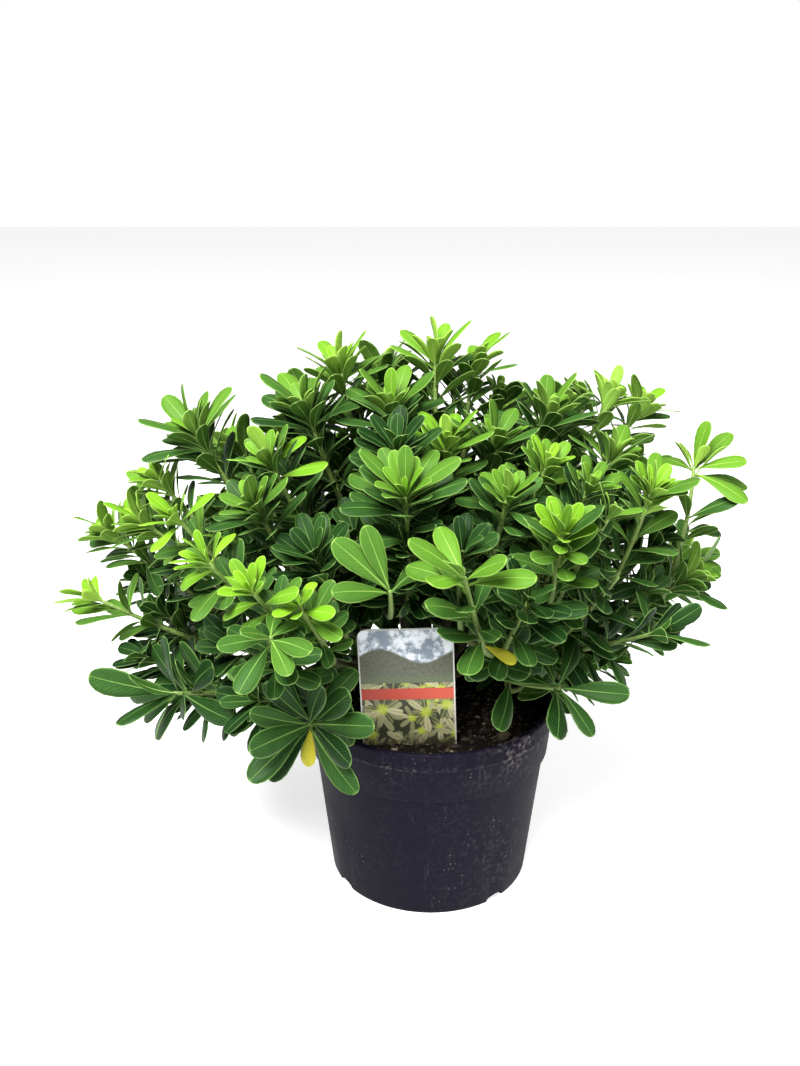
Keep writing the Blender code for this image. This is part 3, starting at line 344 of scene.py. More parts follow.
# Upright windows that only leaves of the CAD may cross at the front: the picture tag, the dark opening
# beside it, and the pale stem of shoot 16, as Y, low and high X, then low and high Z, in metres.
WINDOWS = (
    (-0.056, -0.055, 0.021, 0.125, 0.232),
    (0.0, 0.016, 0.09, 0.06, 0.156),
    (-0.052, 0.131, 0.149, 0.232, 0.31),
)

# Outline of the crown in the fitted view, in photograph pixels; leaves of the fill keep
# inside it.
OUTLINE = (
    (250, 785), (86, 712), (84, 664), (104, 650), (108, 628), (60, 622), (60, 592), (90, 572), (62, 534),
    (76, 510), (108, 486), (128, 452), (134, 402), (178, 376), (232, 374), (242, 404), (262, 404),
    (250, 368), (288, 338), (372, 336), (396, 346), (398, 322), (430, 316), (474, 316), (506, 344),
    (508, 386), (524, 368), (584, 368), (640, 368), (676, 396), (690, 418), (736, 416), (756, 472),
    (730, 508), (728, 572), (700, 602), (698, 640), (664, 662), (632, 664), (632, 704), (598, 742),
    (250, 785),
)

# Pot: radii and heights in mm, from the middle of the underside round the rim to the inner floor.
FINE_SIDES = 96
POT_PROFILE = (
    (0.0, 0.6), (71.0, 0.6), (72.4, 0.0), (76.0, 0.0), (77.7, 0.7), (78.5, 2.4),
    (90.25, 105.0), (90.6, 106.1), (91.4, 106.9), (92.6, 107.4), (93.2, 108.2),
    (95.65, 132.6), (95.9, 133.7), (96.7, 134.5), (97.0, 135.6), (96.9, 136.8), (96.75, 138.0),
    (97.1, 145.4), (96.9, 146.9), (96.1, 147.8), (95.0, 148.0), (93.4, 147.9), (92.4, 147.2),
    (91.6, 145.6), (91.2, 110.2), (90.4, 107.4), (88.4, 105.4), (77.0, 5.0), (75.0, 3.0), (0.0, 3.0),
)
# Drain notches in the base edge: bearing in degrees from the front, then size in mm.
NOTCH_BEARINGS = (-58.0, 40.0, 130.0, 212.0)
NOTCH_WIDTH = 17.0
NOTCH_HEIGHT = 5.4
NOTCH_INNER = 66.0
NOTCH_OUTER = 86.0

# Compost and what lies on it, in mm.
SOIL_RADIUS = 90.7
SOIL_RINGS = 34
SOIL_SIDE = ((0.0, 3.4), (74.4, 3.4), (76.4, 5.2), (87.8, 105.2), (90.5, 111.0))
STEM_HOLE_RADIUS = 8.9
CHIPS = 460
LUMP_PLACE = (55.7, -44.0)
LUMP_SIZE = (7.0, 5.6, 5.0)

# Picture tag, as in the CAD: sizes in mm, foot in cm.
TAG_WIDTH = 70.0
TAG_THICKNESS = 0.8
TAG_TOP = 95.0
TAG_SHOULDER = 2.0
TAG_POINT = 24.0
TAG_CORNER = 7.0
TAG_FOOT = (-1.62, -5.6, 13.35)
TAG_ROLL = -2.4
TAG_YAW = -2.0
# Rounding of its edge, in mm and as a share of its thickness.
TAG_EDGE = 0.15

# Camera fitted to the photograph, 800 by 1066 pixels, and the studio.
PHOTO_WIDTH = 800
PHOTO_HEIGHT = 1066
FOCAL_PIXELS = 1150
SENSOR = 36.0
CAMERA_PLACE = (-0.0236, -0.816, 0.563)
CAMERA_TILT = 19.02
WORLD_LIGHT = 0.38
KEY_LIGHT = 182.0
FILL_LIGHT = 24.0
FLOOR_GLOW = 0.62
FLOOR_SIZE = 14.0
LAMP_AIM = (0.0, 0.0, 0.25)


def between(ends, part):
    """The value a part of the way from the first of two ends to the second."""
    return ends[0] + (ends[1] - ends[0]) * part


def tapered(ends, steps):
    """Radii in metres that change evenly along a path, from two radii in mm."""
    return [between(ends, i / steps) * MM for i in range(steps + 1)]


def band(low, high, sides):
    """Faces between two rings of points, each given by the number of its first point."""
    return [(low + i, low + (i + 1) % sides, high + (i + 1) % sides, high + i) for i in range(sides)]


def frames_along(path, first_way=None, last_way=None):
    """Tangent and two cross directions at each point of a path, carried without twist."""
    tangents = []
    for i in range(len(path)):
        before = path[max(i - 1, 0)]
        after = path[min(i + 1, len(path) - 1)]
        tangents.append((after - before).normalized())
    tangents[0] = (path[1] - path[0]).normalized() if first_way is None else first_way
    tangents[-1] = (path[-1] - path[-2]).normalized() if last_way is None else last_way
    across = tangents[0].cross(Vector((0.0, 1.0, 0.0)))
    if across.length < 0.2:
        across = tangents[0].cross(Vector((1.0, 0.0, 0.0)))
    across.normalize()
    frames = []
    for tangent in tangents:
        across = (across - tangent * across.dot(tangent)).normalized()
        frames.append((tangent, across, tangent.cross(across)))
    return frames


def tube(path, radii, sides, first_way=None, last_way=None):
    """A closed tube with flat ends along a path, with a radius in metres at each point."""
    points = []
    for centre, radius, (_, first, second) in zip(path, radii, frames_along(path, first_way, last_way)):
        for i in range(sides):
            angle = 2.0 * math.pi * i / sides
            points.append(centre + (first * math.cos(angle) + second * math.sin(angle)) * radius)
    last = (len(path) - 1) * sides
    faces = [face for low in range(0, last, sides) for face in band(low, low + sides, sides)]
    faces.append(tuple(reversed(range(sides))))
    faces.append(tuple(range(last, last + sides)))
    return points, faces


def curve(start, start_way, end, end_way, steps):
    """Points of a smooth curve that leaves and arrives along the two directions."""
    reach = (end - start).length
    path = []
    for i in range(steps + 1):
        t = i / steps
        h00 = 2 * t**3 - 3 * t**2 + 1
        h10 = t**3 - 2 * t**2 + t
        h01 = -2 * t**3 + 3 * t**2
        h11 = t**3 - t**2
        path.append(start * h00 + start_way * (h10 * reach) + end * h01 + end_way * (h11 * reach))
    return path


def blade(root, way, face, length, width, arch, cup, thickness, start=0.0):
    """A leaf blade that begins at root, heads along way with its upper side to face, and bends down."""
    side = way.cross(face)
    half_turn = 0.5 * arch
    thick_way = face * math.cos(half_turn) + way * math.sin(half_turn)

    def spot(u, across, lift):
        angle = arch * u
        ahead = math.sin(angle) / arch
        drop = (1.0 - math.cos(angle)) / arch
        normal = face * math.cos(angle) + way * math.sin(angle)
        half = 0.5 * width
        along = (way * ahead - face * drop) * length
        return root + along + side * (across * half) + normal * (lift * half)

    sheet = [spot(start, 0.0, 0.0)]
    for u, share in (LEAF_SHOULDER, LEAF_BELLY, LEAF_END):
        sheet.append(spot(u, share, cup * share))
        sheet.append(spot(u, -share, cup * share))
    sheet.append(spot(LEAF_BELLY[0], 0.0, 0.0))
    points = [p + thick_way * (0.5 * thickness) for p in sheet]
    points += [p - thick_way * (0.5 * thickness) for p in sheet]
    lower = [(0, 2, 1), (1, 2, 7), (1, 7, 3), (2, 4, 7), (3, 7, 5), (4, 6, 7), (5, 7, 6)]
    rim = (0, 1, 3, 5, 6, 4, 2)
    count = len(sheet)
    faces = [tuple(reversed(f)) for f in lower]
    faces += [tuple(i + count for i in f) for f in lower]
    for a, b in zip(rim, rim[1:] + rim[:1]):
        faces.append((a, a + count, b + count, b))
    return points, faces


def lean_of(tip):
    """Direction of a shoot at its tip: outwards from the bush's heart and up."""
    lift = 15.0 * min(1.0, max(0.25, (tip[2] - 17.0) / 10.0))
    return Vector((tip[0], tip[1], tip[2] - 20.0 + lift)).normalized()


class Piece:
    """A surface for clearance tests, with its box."""

    def __init__(self, owner, piece):
        points, faces = piece
        self.owner = owner
        self.points = points
        self.low = Vector([min(p[i] for p in points) for i in range(3)])
        self.high = Vector([max(p[i] for p in points) for i in range(3)])
        self.tree = BVHTree.FromPolygons([tuple(p) for p in points], faces)

    def meets(self, other):
        for i in range(3):
            if self.low[i] > other.high[i] or other.low[i] > self.high[i]:
                return False
        return bool(self.tree.overlap(other.tree))


class Crowd:
    """Pieces sorted into cubes of space, so that a test looks only at what is near."""

    def __init__(self, cube):
        self.cube = cube
        self.cubes = {}

    def cubes_of(self, piece):
        low = [math.floor(c / self.cube) for c in piece.low]
        high = [math.floor(c / self.cube) + 1 for c in piece.high]
        for x in range(low[0], high[0]):
            for y in range(low[1], high[1]):
                for z in range(low[2], high[2]):
                    yield x, y, z

    def append(self, piece):
        for cube in self.cubes_of(piece):
            self.cubes.setdefault(cube, []).append(piece)

    def near(self, piece):
        seen = {}
        for cube in self.cubes_of(piece):
            for other in self.cubes.get(cube, ()):
                seen[id(other)] = other
        return seen.values()


def shoot_ends(row):
    """Foot and tip of a leafy stem, each with its direction."""
    top = Vector(row.tip) * CM
    way = lean_of(row.tip)
    if row.lean is not None:
        lean = math.radians(row.lean)
        flat = Vector((top.x, top.y, 0.0)).normalized()
        if row.bearing is not None:
            bearing = math.radians(row.bearing)
            flat = Vector((math.cos(bearing), math.sin(bearing), 0.0))
        way = flat * math.sin(lean) + UP * math.cos(lean)
    from_fork = (top - Vector(FORKS[row.fork]) * CM).normalized()
    foot_way = (way * 0.45 + from_fork * 0.55).normalized()
    mean = (way * 0.5 + foot_way * 0.5).normalized()
    return top - mean * (row.stem * MM), foot_way, top, way


def leaf_spot(path, share):
    """Point and direction at a share of a path's length."""
    place = share * (len(path) - 1)
    low = min(int(place), len(path) - 2)
    part = place - low
    point = path[low].lerp(path[low + 1], part)
    frames = frames_along(path)
    way = frames[low][0].lerp(frames[low + 1][0], part).normalized()
    across = frames[low][1]
    across = (across - way * across.dot(way)).normalized()
    return point, way, across


def inner_share(share):
    """1 for the youngest leaves at the tip of a stem, falling to 0 a little way down."""
    return max(0.0, 1.0 - (1.0 - share) / 0.05)


# A leaf to come: share of the stem, direction, length in mm, bend in degrees, lift of the edges, and
# the way that its upper side turns besides up and towards the stem.
Plan = namedtuple("Plan", "share way size arch cup facing")


def outwards(row):
    """Level direction from the middle of the bush to a shoot."""
    return Vector((row.tip[0], row.tip[1], 0.0)).normalized()


def leaf_way(path, share, bearing, pitch):
    """Direction of a leaf from its bearing round the stem and its angle from the stem."""
    _, axis, across = leaf_spot(path, share)
    out = across * math.cos(bearing) + axis.cross(across) * math.sin(bearing)
    return axis * math.cos(pitch) + out * math.sin(pitch)


def spiral_plans(path, row, draw):
    """Leaves in a golden-angle spiral, lowest first."""
    plans = []
    for k in range(SPIRAL_LEAVES):
        youth = k / (SPIRAL_LEAVES - 1)
        share = 0.99 - SPIRAL_SHARE * (1.0 - youth) ** 2.0
        pitch = math.radians(between(SPIRAL_PITCH, youth) + draw.uniform(-5.0, 5.0))
        bearing = math.radians(row.spin + k * GOLDEN_ANGLE + draw.uniform(-8.0, 8.0))
        size = row.leaf * (0.96 + 0.1 * math.sin(math.pi * youth) - 0.28 * youth**3)
        size *= draw.uniform(0.95, 1.05)
        way = leaf_way(path, share, bearing, pitch)
        arch = OLD_ARCH - ARCH_LOSS[0] * youth + draw.uniform(-6.0, 8.0)
        plans.append(Plan(share, way, size, arch, between(CUP, youth), outwards(row) * OUTER_FACING))
    return plans


def front_plans(path, row, aims, facing, draw):
    """Leaves aimed across the front view."""
    tilt = math.radians(VIEW_TILT)
    right = Vector((1.0, 0.0, 0.0))
    high = Vector((0.0, math.sin(tilt), math.cos(tilt)))
    near = Vector((0.0, -math.cos(tilt), math.sin(tilt)))
    plans = []
    for share, clock, reach in aims:
        youth = inner_share(share)
        size = max(abs(reach) * 1.04, row.leaf * (1.0 - 0.36 * youth) * draw.uniform(0.96, 1.04))
        flat = min(0.96, abs(reach) / size)
        turn = math.radians(clock)
        way = (right * math.cos(turn) + high * math.sin(turn)) * flat
        way = (way + near * math.copysign(math.sqrt(1.0 - flat * flat), reach)).normalized()
        arch = OLD_ARCH - ARCH_LOSS[1] * youth + draw.uniform(-6.0, 6.0)
        plans.append(Plan(share, way, size, arch, between(CUP, youth), near * facing))
    return plans


def swung(way, axis, turn, raised):
    """A leaf's direction turned about the stem and moved from it, both in degrees."""
    out = way - axis * way.dot(axis)
    if out.length < 0.05:
        return way
    out.normalize()
    swing = math.radians(turn)
    out = out * math.cos(swing) + axis.cross(out) * math.sin(swing)
    pitch = math.acos(max(-1.0, min(1.0, way.dot(axis)))) + math.radians(raised)
    return axis * math.cos(pitch) + out * math.sin(pitch)


def leaf_face(path, plan):
    """Direction and upper side of a leaf at its root."""
    way = plan.way
    axis = leaf_spot(path, plan.share)[1]
    face = axis - way * axis.dot(way)
    if face.length < 0.05:
        face = UP - way * UP.dot(way)
    face.normalize()
    face = face + UP * UP_FACING + plan.facing
    face = (face - way * face.dot(way)).normalized()
    half_bend = 0.5 * math.radians(plan.arch)
    first_way = way * math.cos(half_bend) + face * math.sin(half_bend)
    return first_way, face * math.cos(half_bend) - way * math.sin(half_bend)


def leaf_blade(path, plan, grow, start=0.0):
    """The coarse blade of one leaf plan; grow widens it all round, in mm, for a clearance test."""
    first_way, face = leaf_face(path, plan)
    return blade(
        leaf_spot(path, plan.share)[0] - first_way * (0.5 * MM),
        first_way,
        face,
        (plan.size + grow) * MM,
        (plan.size * LEAF_WIDTH_SHARE + 2.0 * grow) * MM,
        math.radians(plan.arch),
        plan.cup,
        (LEAF_THICKNESS + 2.0 * grow) * MM,
        start,
    )


def trials(plan, axis):
    """A leaf plan, then the same leaf turned about the stem, raised or shortened."""
    for scale in TRY_SCALES:
        for turn in TRY_TURNS:
            for raised in TRY_RAISES:
                yield plan._replace(way=swung(plan.way, axis, turn, raised), size=plan.size * scale)


def limb_path(letter, steps):
    """Path of the limb to a fork, and its direction there."""
    crown = Vector(CROWN) * CM
    end = Vector(FORKS[letter]) * CM
    flat = Vector((end.x, end.y, 0.0)).normalized()
    start = crown - UP * (6.0 * MM) + flat * (1.5 * MM)
    way = (end - start).normalized()
    start_way = (flat * 0.5 + UP * 0.6).normalized()
    return curve(start, start_way, end + way * (2.0 * MM), way, steps), way


def twig_path(row, steps):
    """Path of the twig from its fork to the foot of a leafy stem."""
    foot, foot_way, _, _ = shoot_ends(row)
    limb_way = limb_path(row.fork, 2)[1]
    end = foot - foot_way * (JOINT_GAP * MM)
    fork = Vector(FORKS[row.fork]) * CM
    way = (limb_way * 0.5 + (end - fork).normalized() * 0.5).normalized()
    return curve(fork - limb_way * MM, way, end, foot_way, steps)


def branch_pieces(rows):
    """Coarse trunk, limbs and twigs of the CAD, for clearance tests."""
    trunk = [Vector((0.0, 0.0, height * MM)) for height in (TRUNK_FOOT, TRUNK_BEND)]
    trunk.append(Vector(CROWN) * CM)
    radii = [TRUNK_RADIUS * MM, TRUNK_RADIUS * MM, CROWN_RADIUS * MM]
    pieces = [tube(trunk, radii, TRUNK_SIDES)]
    pieces += [tube(limb_path(letter, 2)[0], tapered(LIMB_RADII, 2), LIMB_SIDES) for letter in FORKS]
    for row in rows:
        end_way = shoot_ends(row)[1]
        pieces.append(tube(twig_path(row, 2), tapered(TWIG_RADII, 2), STEM_SIDES, last_way=end_way))
    return pieces


def node_piece(name):
    """A CAD node as a surface for clearance tests."""
    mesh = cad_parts[name].data
    return Piece(name, ([v.co for v in mesh.vertices], [tuple(p.vertices) for p in mesh.polygons]))


def in_box(piece):
    slack = BOX_SLACK * MM
    low, high = CAD_BOX
    return all(piece.low[i] > low[i] - slack and piece.high[i] < high[i] + slack for i in range(3))


def photo_pixel(point):
    """Pixel of the photograph at which a point shows."""
    tilt = math.radians(CAMERA_TILT)
    ahead = point - Vector(CAMERA_PLACE)
    depth = ahead.y * math.cos(tilt) - ahead.z * math.sin(tilt)
    high = ahead.y * math.sin(tilt) + ahead.z * math.cos(tilt)
    scale = FOCAL_PIXELS / depth
    return PHOTO_WIDTH / 2 + ahead.x * scale, PHOTO_HEIGHT / 2 - high * scale


def in_outline(points):
    """Whether points all show inside the outline of the crown."""
    for point in points:
        x, y = photo_pixel(point)
        crossings = 0
        for (x1, y1), (x2, y2) in zip(OUTLINE, OUTLINE[1:]):
            if (y1 > y) != (y2 > y) and x < x1 + (y - y1) / (y2 - y1) * (x2 - x1):
                crossings += 1
        if crossings % 2 == 0:
            return False
    return True


def crosses_window(points):
    """Whether a leaf stands between the fitted camera and one of the windows."""
    eye = Vector(CAMERA_PLACE)
    for point in points:
        ahead = point - eye
        for plane, left, right, low, high in WINDOWS:
            if point.y < plane:
                spot = eye + ahead * ((plane - eye.y) / ahead.y)
                if left < spot.x < right and low < spot.z < high:
                    return True
    return False


def ring_plans(path, row, rings, draw):
    """Leaves for the rings of a rosette, youngest first, each with its youth."""
    fresh, old = YOUTH[row.tone]
    plans = []
    bearing = math.radians(row.spin + draw.uniform(0.0, 360.0))
    for ring in rings:
        for k in range(ring.count):
            part = k / (ring.count - 1)
            share, pitch, size, cup, older = [between(ends, part) for ends in ring[1:]]
            pitch = math.radians(pitch + draw.uniform(-6.0, 6.0))
            bearing += math.radians(GOLDEN_ANGLE + draw.uniform(-9.0, 9.0))
            size = row.leaf * size * draw.uniform(0.93, 1.07)
            way = leaf_way(path, share, bearing, pitch)
            arch = 14.0 + 20.0 * older + draw.uniform(-5.0, 12.0)
            youth = max(old, fresh - older) + draw.uniform(-0.04, 0.04)
            plans.append((Plan(share, way, size, arch, cup, outwards(row) * OUTER_FACING), youth))
    return plans


def cad_youth(row, number, share):
    """Youth of a leaf that the CAD holds: a shoot's tone at its tip, old further down."""
    fresh, old = YOUTH[row.tone]
    fresh = TIP_YOUTH.get(number, fresh)
    start = HEART_FROM.get(number, YOUNG_FROM)
    return old + (fresh - old) * min(1.0, max(0.0, (share - start) / (0.9 - 0.8 * start)))


class Stalk:
    """A stem or twig with the leaves that found room on it."""

    def __init__(self, owner, path, fine):
        self.owner = owner
        self.path = path
        self.fine = fine
        self.leaves = []

    def shape(self, plan, grow, start=0.0):
        return Piece(self.owner, leaf_blade(self.path, plan, grow, start))

    def place(self, plans, crowd, own, boxed_in):
        """Set each leaf, turned or shortened until it is clear of all that stands near."""
        for plan, youth in plans:
            for trial in trials(plan, leaf_spot(self.path, plan.share)[1]):
                test = self.shape(trial, CLEARANCE, CLEAR_FROM)
                corners = test.points
                if boxed_in and (not in_box(test) or not in_outline(corners) or crosses_window(corners)):
                    continue
                if any(other.owner != self.owner and test.meets(other) for other in crowd.near(test)):
                    continue
                outer = self.shape(trial, OWN_CLEARANCE, OWN_CLEAR_FROM)
                if any(outer.meets(other) for other in own):
                    continue
                self.leaves.append((trial, youth))
                own.append(outer)
                crowd.append(self.shape(trial, 0.0))
                break


class Grown:
    """A leafy shoot: its stem, the twig that carries it, and the leaves of both."""

    def __init__(self, name, row):
        self.name = name
        self.row = row
        foot, self.foot_way, top, tip_way = shoot_ends(row)
        path = curve(foot, self.foot_way, top, tip_way, STEM_STEPS)
        self.stem = tube(path, tapered(STEM_RADII, STEM_STEPS), STEM_SIDES, first_way=self.foot_way)
        self.upper = Stalk(name, path, curve(foot, self.foot_way, top, tip_way, 12))
        self.lower = Stalk(name, twig_path(row, 4), twig_path(row, 8))
        self.own = []


def cad_shoots(crowd):
    """The leafy stems of the CAD with the same leaves, placed in the same order."""
    grown = [Grown(f"leafy_shoot_{i + 1:02d}", row) for i, row in enumerate(SHOOTS)]
    for shoot in grown:
        crowd.append(Piece(shoot.name, shoot.stem))
    for index, shoot in enumerate(grown):
        draw = random.Random(SEED + 17 * index)
        path = shoot.upper.path
        if index + 1 in FRONT_LEAVES:
            facing = MORE_FACING.get(index + 1, FRONT_FACING)
            plans = front_plans(path, shoot.row, FRONT_LEAVES[index + 1], facing, draw)
        else:
            plans = spiral_plans(path, shoot.row, draw)
        aged = [(plan, cad_youth(shoot.row, index + 1, plan.share)) for plan in plans]
        shoot.upper.place(aged, crowd, shoot.own, False)
    return grown


def fill_rows(draw):
    """Shoots between those of the tables, spread over the dome and kept apart from each other."""
    rows = []
    taken = [Vector(row.tip) for row in SHOOTS + MORE_SHOOTS]
    for _ in range(FILL_TRIES):
        around = draw.uniform(0.0, 2.0 * math.pi)
        lift = math.asin(draw.uniform(-0.05, 0.98))
        depth = draw.uniform(*FILL_DEPTH)
        way = (math.cos(lift) * math.cos(around), math.cos(lift) * math.sin(around), math.sin(lift))
        tip = Vector([DOME_MIDDLE[i] + DOME_SIZE[i] * way[i] * depth for i in range(3)])
        if tip.z < 19.0 or Vector((tip.x, tip.y)).length < 7.0 and tip.z < 26.0:
            continue
        if tip.y < -2.0 and abs(tip.x + 0.5) < 9.0 and tip.z < 28.0:
            continue
        if min((tip - other).length for other in taken) < FILL_APART:
            continue
        if not in_outline([(tip + Vector(side)) * CM for side in FILL_MARGIN]):
            continue
        taken.append(tip)
        fork = min(FORKS, key=lambda letter: (Vector(FORKS[letter]) - tip * 0.75).length)
        far = (tip - Vector(FORKS[fork])).length * 10.0
        tone = "mid" if depth > 0.84 and tip.z > 26.0 and tip.y > 1.0 else "dark"
        stem = min(80.0, max(38.0, far - 18.0))
        rows.append(Shoot(fork, tuple(tip), stem, draw.uniform(42, 52), tone, spin=draw.uniform(0, 360)))
        if len(rows) == FILL_SHOOTS:
            break
    return rows


def extra_shoots(crowd, draw):
    """Shoots beyond the CAD's, each kept only if its stem and twig are clear."""
    grown = []
    for index, row in enumerate(MORE_SHOOTS + tuple(fill_rows(draw))):
        shoot = Grown(f"filling_shoot_{index + 1:02d}", row)
        outer_twig = shoot.lower.path[2:]
        radii = [TWIG_RADII[1] * MM] * len(outer_twig)
        pieces = (Piece(shoot.name, shoot.stem), Piece(shoot.name, tube(outer_twig, radii, STEM_SIDES)))
        if any(p.meets(o) for p in pieces for o in crowd.near(p)):
            continue
        for piece in pieces:
            crowd.append(piece)
        grown.append(shoot)
    return grown


def wither(shoots, crowd, draw):
    """Set the few withered leaves that show at the front."""
    for number, aim in WITHERED:
        shoot = shoots[number - 1]
        row = shoot.row._replace(leaf=abs(aim[2]))
        plan = front_plans(shoot.upper.path, row, (aim,), FRONT_FACING, draw)[0]
        shoot.upper.place([(plan, WITHERED_YOUTH)], crowd, shoot.own, False)


def fill_out(shoots, crowd, draw):
    """Add the rings of leaves to every shoot, then leaves down its twig."""
    for index, shoot in enumerate(shoots):
        usual = DARK_RINGS if shoot.row.tone == "dark" else TIP_RINGS
        rings = OTHER_RINGS.get(index + 1, usual)
        shoot.upper.place(ring_plans(shoot.upper.path, shoot.row, rings, draw), crowd, shoot.own, True)
    for index, shoot in enumerate(shoots):
        if index + 1 not in BARE_TWIGS:
            plans = ring_plans(shoot.lower.path, shoot.row, TWIG_RINGS, draw)
            shoot.lower.place(plans, crowd, shoot.own, True)


def new_object(name, mesh):
    obj = bpy.data.objects.new(name, mesh)
    bpy.context.scene.collection.objects.link(obj)
    return obj


class Build:
    """Points and faces gathered for one mesh, with a look for each point and a material for each face."""

    def __init__(self):
        self.parts = []
        self.count = 0

    def add(self, points, faces, look, place, stuff):
        """Points and looks as arrays, faces as an array of quads with triangles ending in -1."""
        faces = np.where(faces < 0, -1, faces + self.count)
        self.parts.append((points, faces, look, place, np.full(len(faces), stuff)))
        self.count += len(points)

    def object(self, name, materials):
        points, faces, look, place, stuff = [np.concatenate(part) for part in zip(*self.parts)]
        mesh = bpy.data.meshes.new(name)
        mesh.from_pydata(points.tolist(), [], [[i for i in face if i >= 0] for face in faces.tolist()])
        mesh.polygons.foreach_set("material_index", stuff)
        looks = mesh.attributes.new("look", "FLOAT_COLOR", "POINT")
        looks.data.foreach_set("color", look.astype(np.float32).ravel())
        places = mesh.attributes.new("place", "FLOAT_VECTOR", "POINT")
        places.data.foreach_set("vector", place.astype(np.float32).ravel())
        for material in materials:
            mesh.materials.append(material)
        mesh.shade_smooth()
        return new_object(name, mesh)


LeafGrid = namedtuple("LeafGrid", "along across half faces")


def leaf_grid(rows):
    """Grids of length share, place across and half width, and the faces of a closed thin blade."""
    rows = np.array(rows)
    swell = np.sin(0.5 * np.pi * np.minimum(rows / LEAF_WIDEST, 1.0)) ** LEAF_TAPER
    tip = np.sqrt(np.maximum(0.0, 1.0 - (np.maximum(rows - LEAF_WIDEST, 0.0) / (1.0 - LEAF_WIDEST)) ** 2))
    width = np.maximum(swell * tip, PETIOLE_SHARE)
    along, across = np.meshgrid(rows, np.array(LEAF_COLUMNS), indexing="ij")
    half = np.repeat(width[:, None], len(LEAF_COLUMNS), axis=1)
    faces = []
    wide = len(LEAF_COLUMNS)
    size = along.size
    for i in range(len(rows) - 1):
        for j in range(wide - 1):
            a, b, c, d = i * wide + j, (i + 1) * wide + j, (i + 1) * wide + j + 1, i * wide + j + 1
            faces.append((d, c, b, a))
            faces.append((a + size, b + size, c + size, d + size))
    last = (len(rows) - 1) * wide
    loop = [i * wide for i in range(len(rows))] + [last + j for j in range(1, wide)]
    loop += [i * wide + wide - 1 for i in reversed(range(len(rows) - 1))] + list(range(wide - 2, 0, -1))
    for a, b in zip(loop, loop[1:] + loop[:1]):
        faces.append((a, b, b + size, a + size))
    return LeafGrid(along, across, half, np.array(faces))


def add_leaf(build, stalk, plan, youth, grid, draw):
    """A fine blade on the lines of the leaf plan."""
    size = plan.size
    first_way, face = leaf_face(stalk.path, plan)
    side = np.array(first_way.cross(face))
    root = np.array(leaf_spot(stalk.fine, plan.share)[0] - first_way * (0.5 * MM))
    way, face = np.array(first_way), np.array(face)
    bend = math.radians(plan.arch)
    length = size * MM
    age = max(0.0, youth)
    half = 0.5 * size * OLD_WIDTH * (1.0 - WIDTH_LOSS * age) * draw.uniform(0.92, 1.04) * MM
    u, v, w = grid.along[..., None], grid.across[..., None], grid.half[..., None]
    angle = bend * u
    normal = face * np.cos(angle) + way * np.sin(angle)
    line = (way * np.sin(angle) - face * (1.0 - np.cos(angle))) / bend * length
    sweep = draw.uniform(-0.05, 0.05) * length * u**2
    twist = draw.uniform(-0.16, 0.16) * u * v
    phase = 2.0 * np.pi * (draw.uniform(1.2, 2.2) * u + draw.uniform(0.0, 1.0))
    wave = draw.uniform(0.02, 0.07) * np.sin(phase)
    roll = -0.1 * (1.0 - age) * np.abs(v) ** 5
    lift = (plan.cup * np.abs(v) ** 1.5 + twist + wave * v**2 * np.sign(v) + roll) * w
    middle = root + line + side * (v * w * half + sweep) + normal * (lift * half)
    thick = BLADE_THICKNESS * (1.0 - 0.45 * v**2) * (1.0 - 0.25 * age) * MM
    rib = RIB_DEPTH * MM * np.exp(-((v / 0.3) ** 2)) * (1.0 - 0.8 * u) * (size / 50.0)
    upper = middle + normal * (0.5 * thick - 0.25 * rib)
    lower = middle - normal * (0.5 * thick + rib)
    points = np.concatenate([upper.reshape(-1, 3), lower.reshape(-1, 3)])
    count = len(points) // 2
    look = np.zeros((2 * count, 4))
    look[:, 0] = age
    look[:, 1] = draw.random()
    look[count:, 2] = 1.0
    look[:, 3] = 1.0 if youth == WITHERED_YOUTH else 0.0
    place = np.stack([grid.along.ravel(), grid.across.ravel(), (grid.across * grid.half).ravel()], axis=1)
    build.add(points, grid.faces, look, np.concatenate([place, place]), 0)


def add_tube(build, path, radii, sides, youths, stuff, knots):
    """A round tube along a path, with its youth at foot and tip and knots as a share of its radius."""
    frames = frames_along(path)
    turn = np.arange(sides) * 2.0 * np.pi / sides
    points = []
    count = len(path) * sides
    look = np.zeros((count + 2, 4))
    place = np.zeros((count + 2, 3))
    far = 0.0
    for i, (centre, radius, (_, first, second)) in enumerate(zip(path, radii, frames)):
        if i:
            far += (path[i] - path[i - 1]).length
        swell = 1.0 + knots * (1.0 if i % 2 else -0.4)
        ring = np.outer(np.cos(turn), np.array(first)) + np.outer(np.sin(turn), np.array(second))
        points.append(np.array(centre) + ring * radius * swell)
        rows = slice(i * sides, (i + 1) * sides)
        look[rows, 0] = between(youths, i / (len(path) - 1))
        place[rows] = np.stack([np.full(sides, far), np.cos(turn), np.sin(turn)], axis=1)
    points.append(np.array(path[0])[None])
    points.append((np.array(path[-1]) + np.array(frames[-1][0]) * radii[-1] * 0.6)[None])
    look[count:, 0] = youths
    place[-1, 0] = far
    last = count - sides
    faces = [face for low in range(0, last, sides) for face in band(low, low + sides, sides)]
    for i in range(sides):
        j = (i + 1) % sides
        faces += [(count, j, i, -1), (count + 1, last + i, last + j, -1)]
    build.add(np.concatenate(points), np.array(faces), look, place, stuff)


class Wire:
    """An output of a shader node; sums and products of wires make further nodes."""

    def __init__(self, nodes, socket):
        self.nodes = nodes
        self.socket = socket

    def __add__(self, other):
        return self.nodes.math("ADD", self, other)

    def __sub__(self, other):
        return self.nodes.math("SUBTRACT", self, other)

    def __mul__(self, other):
        return self.nodes.math("MULTIPLY", self, other)


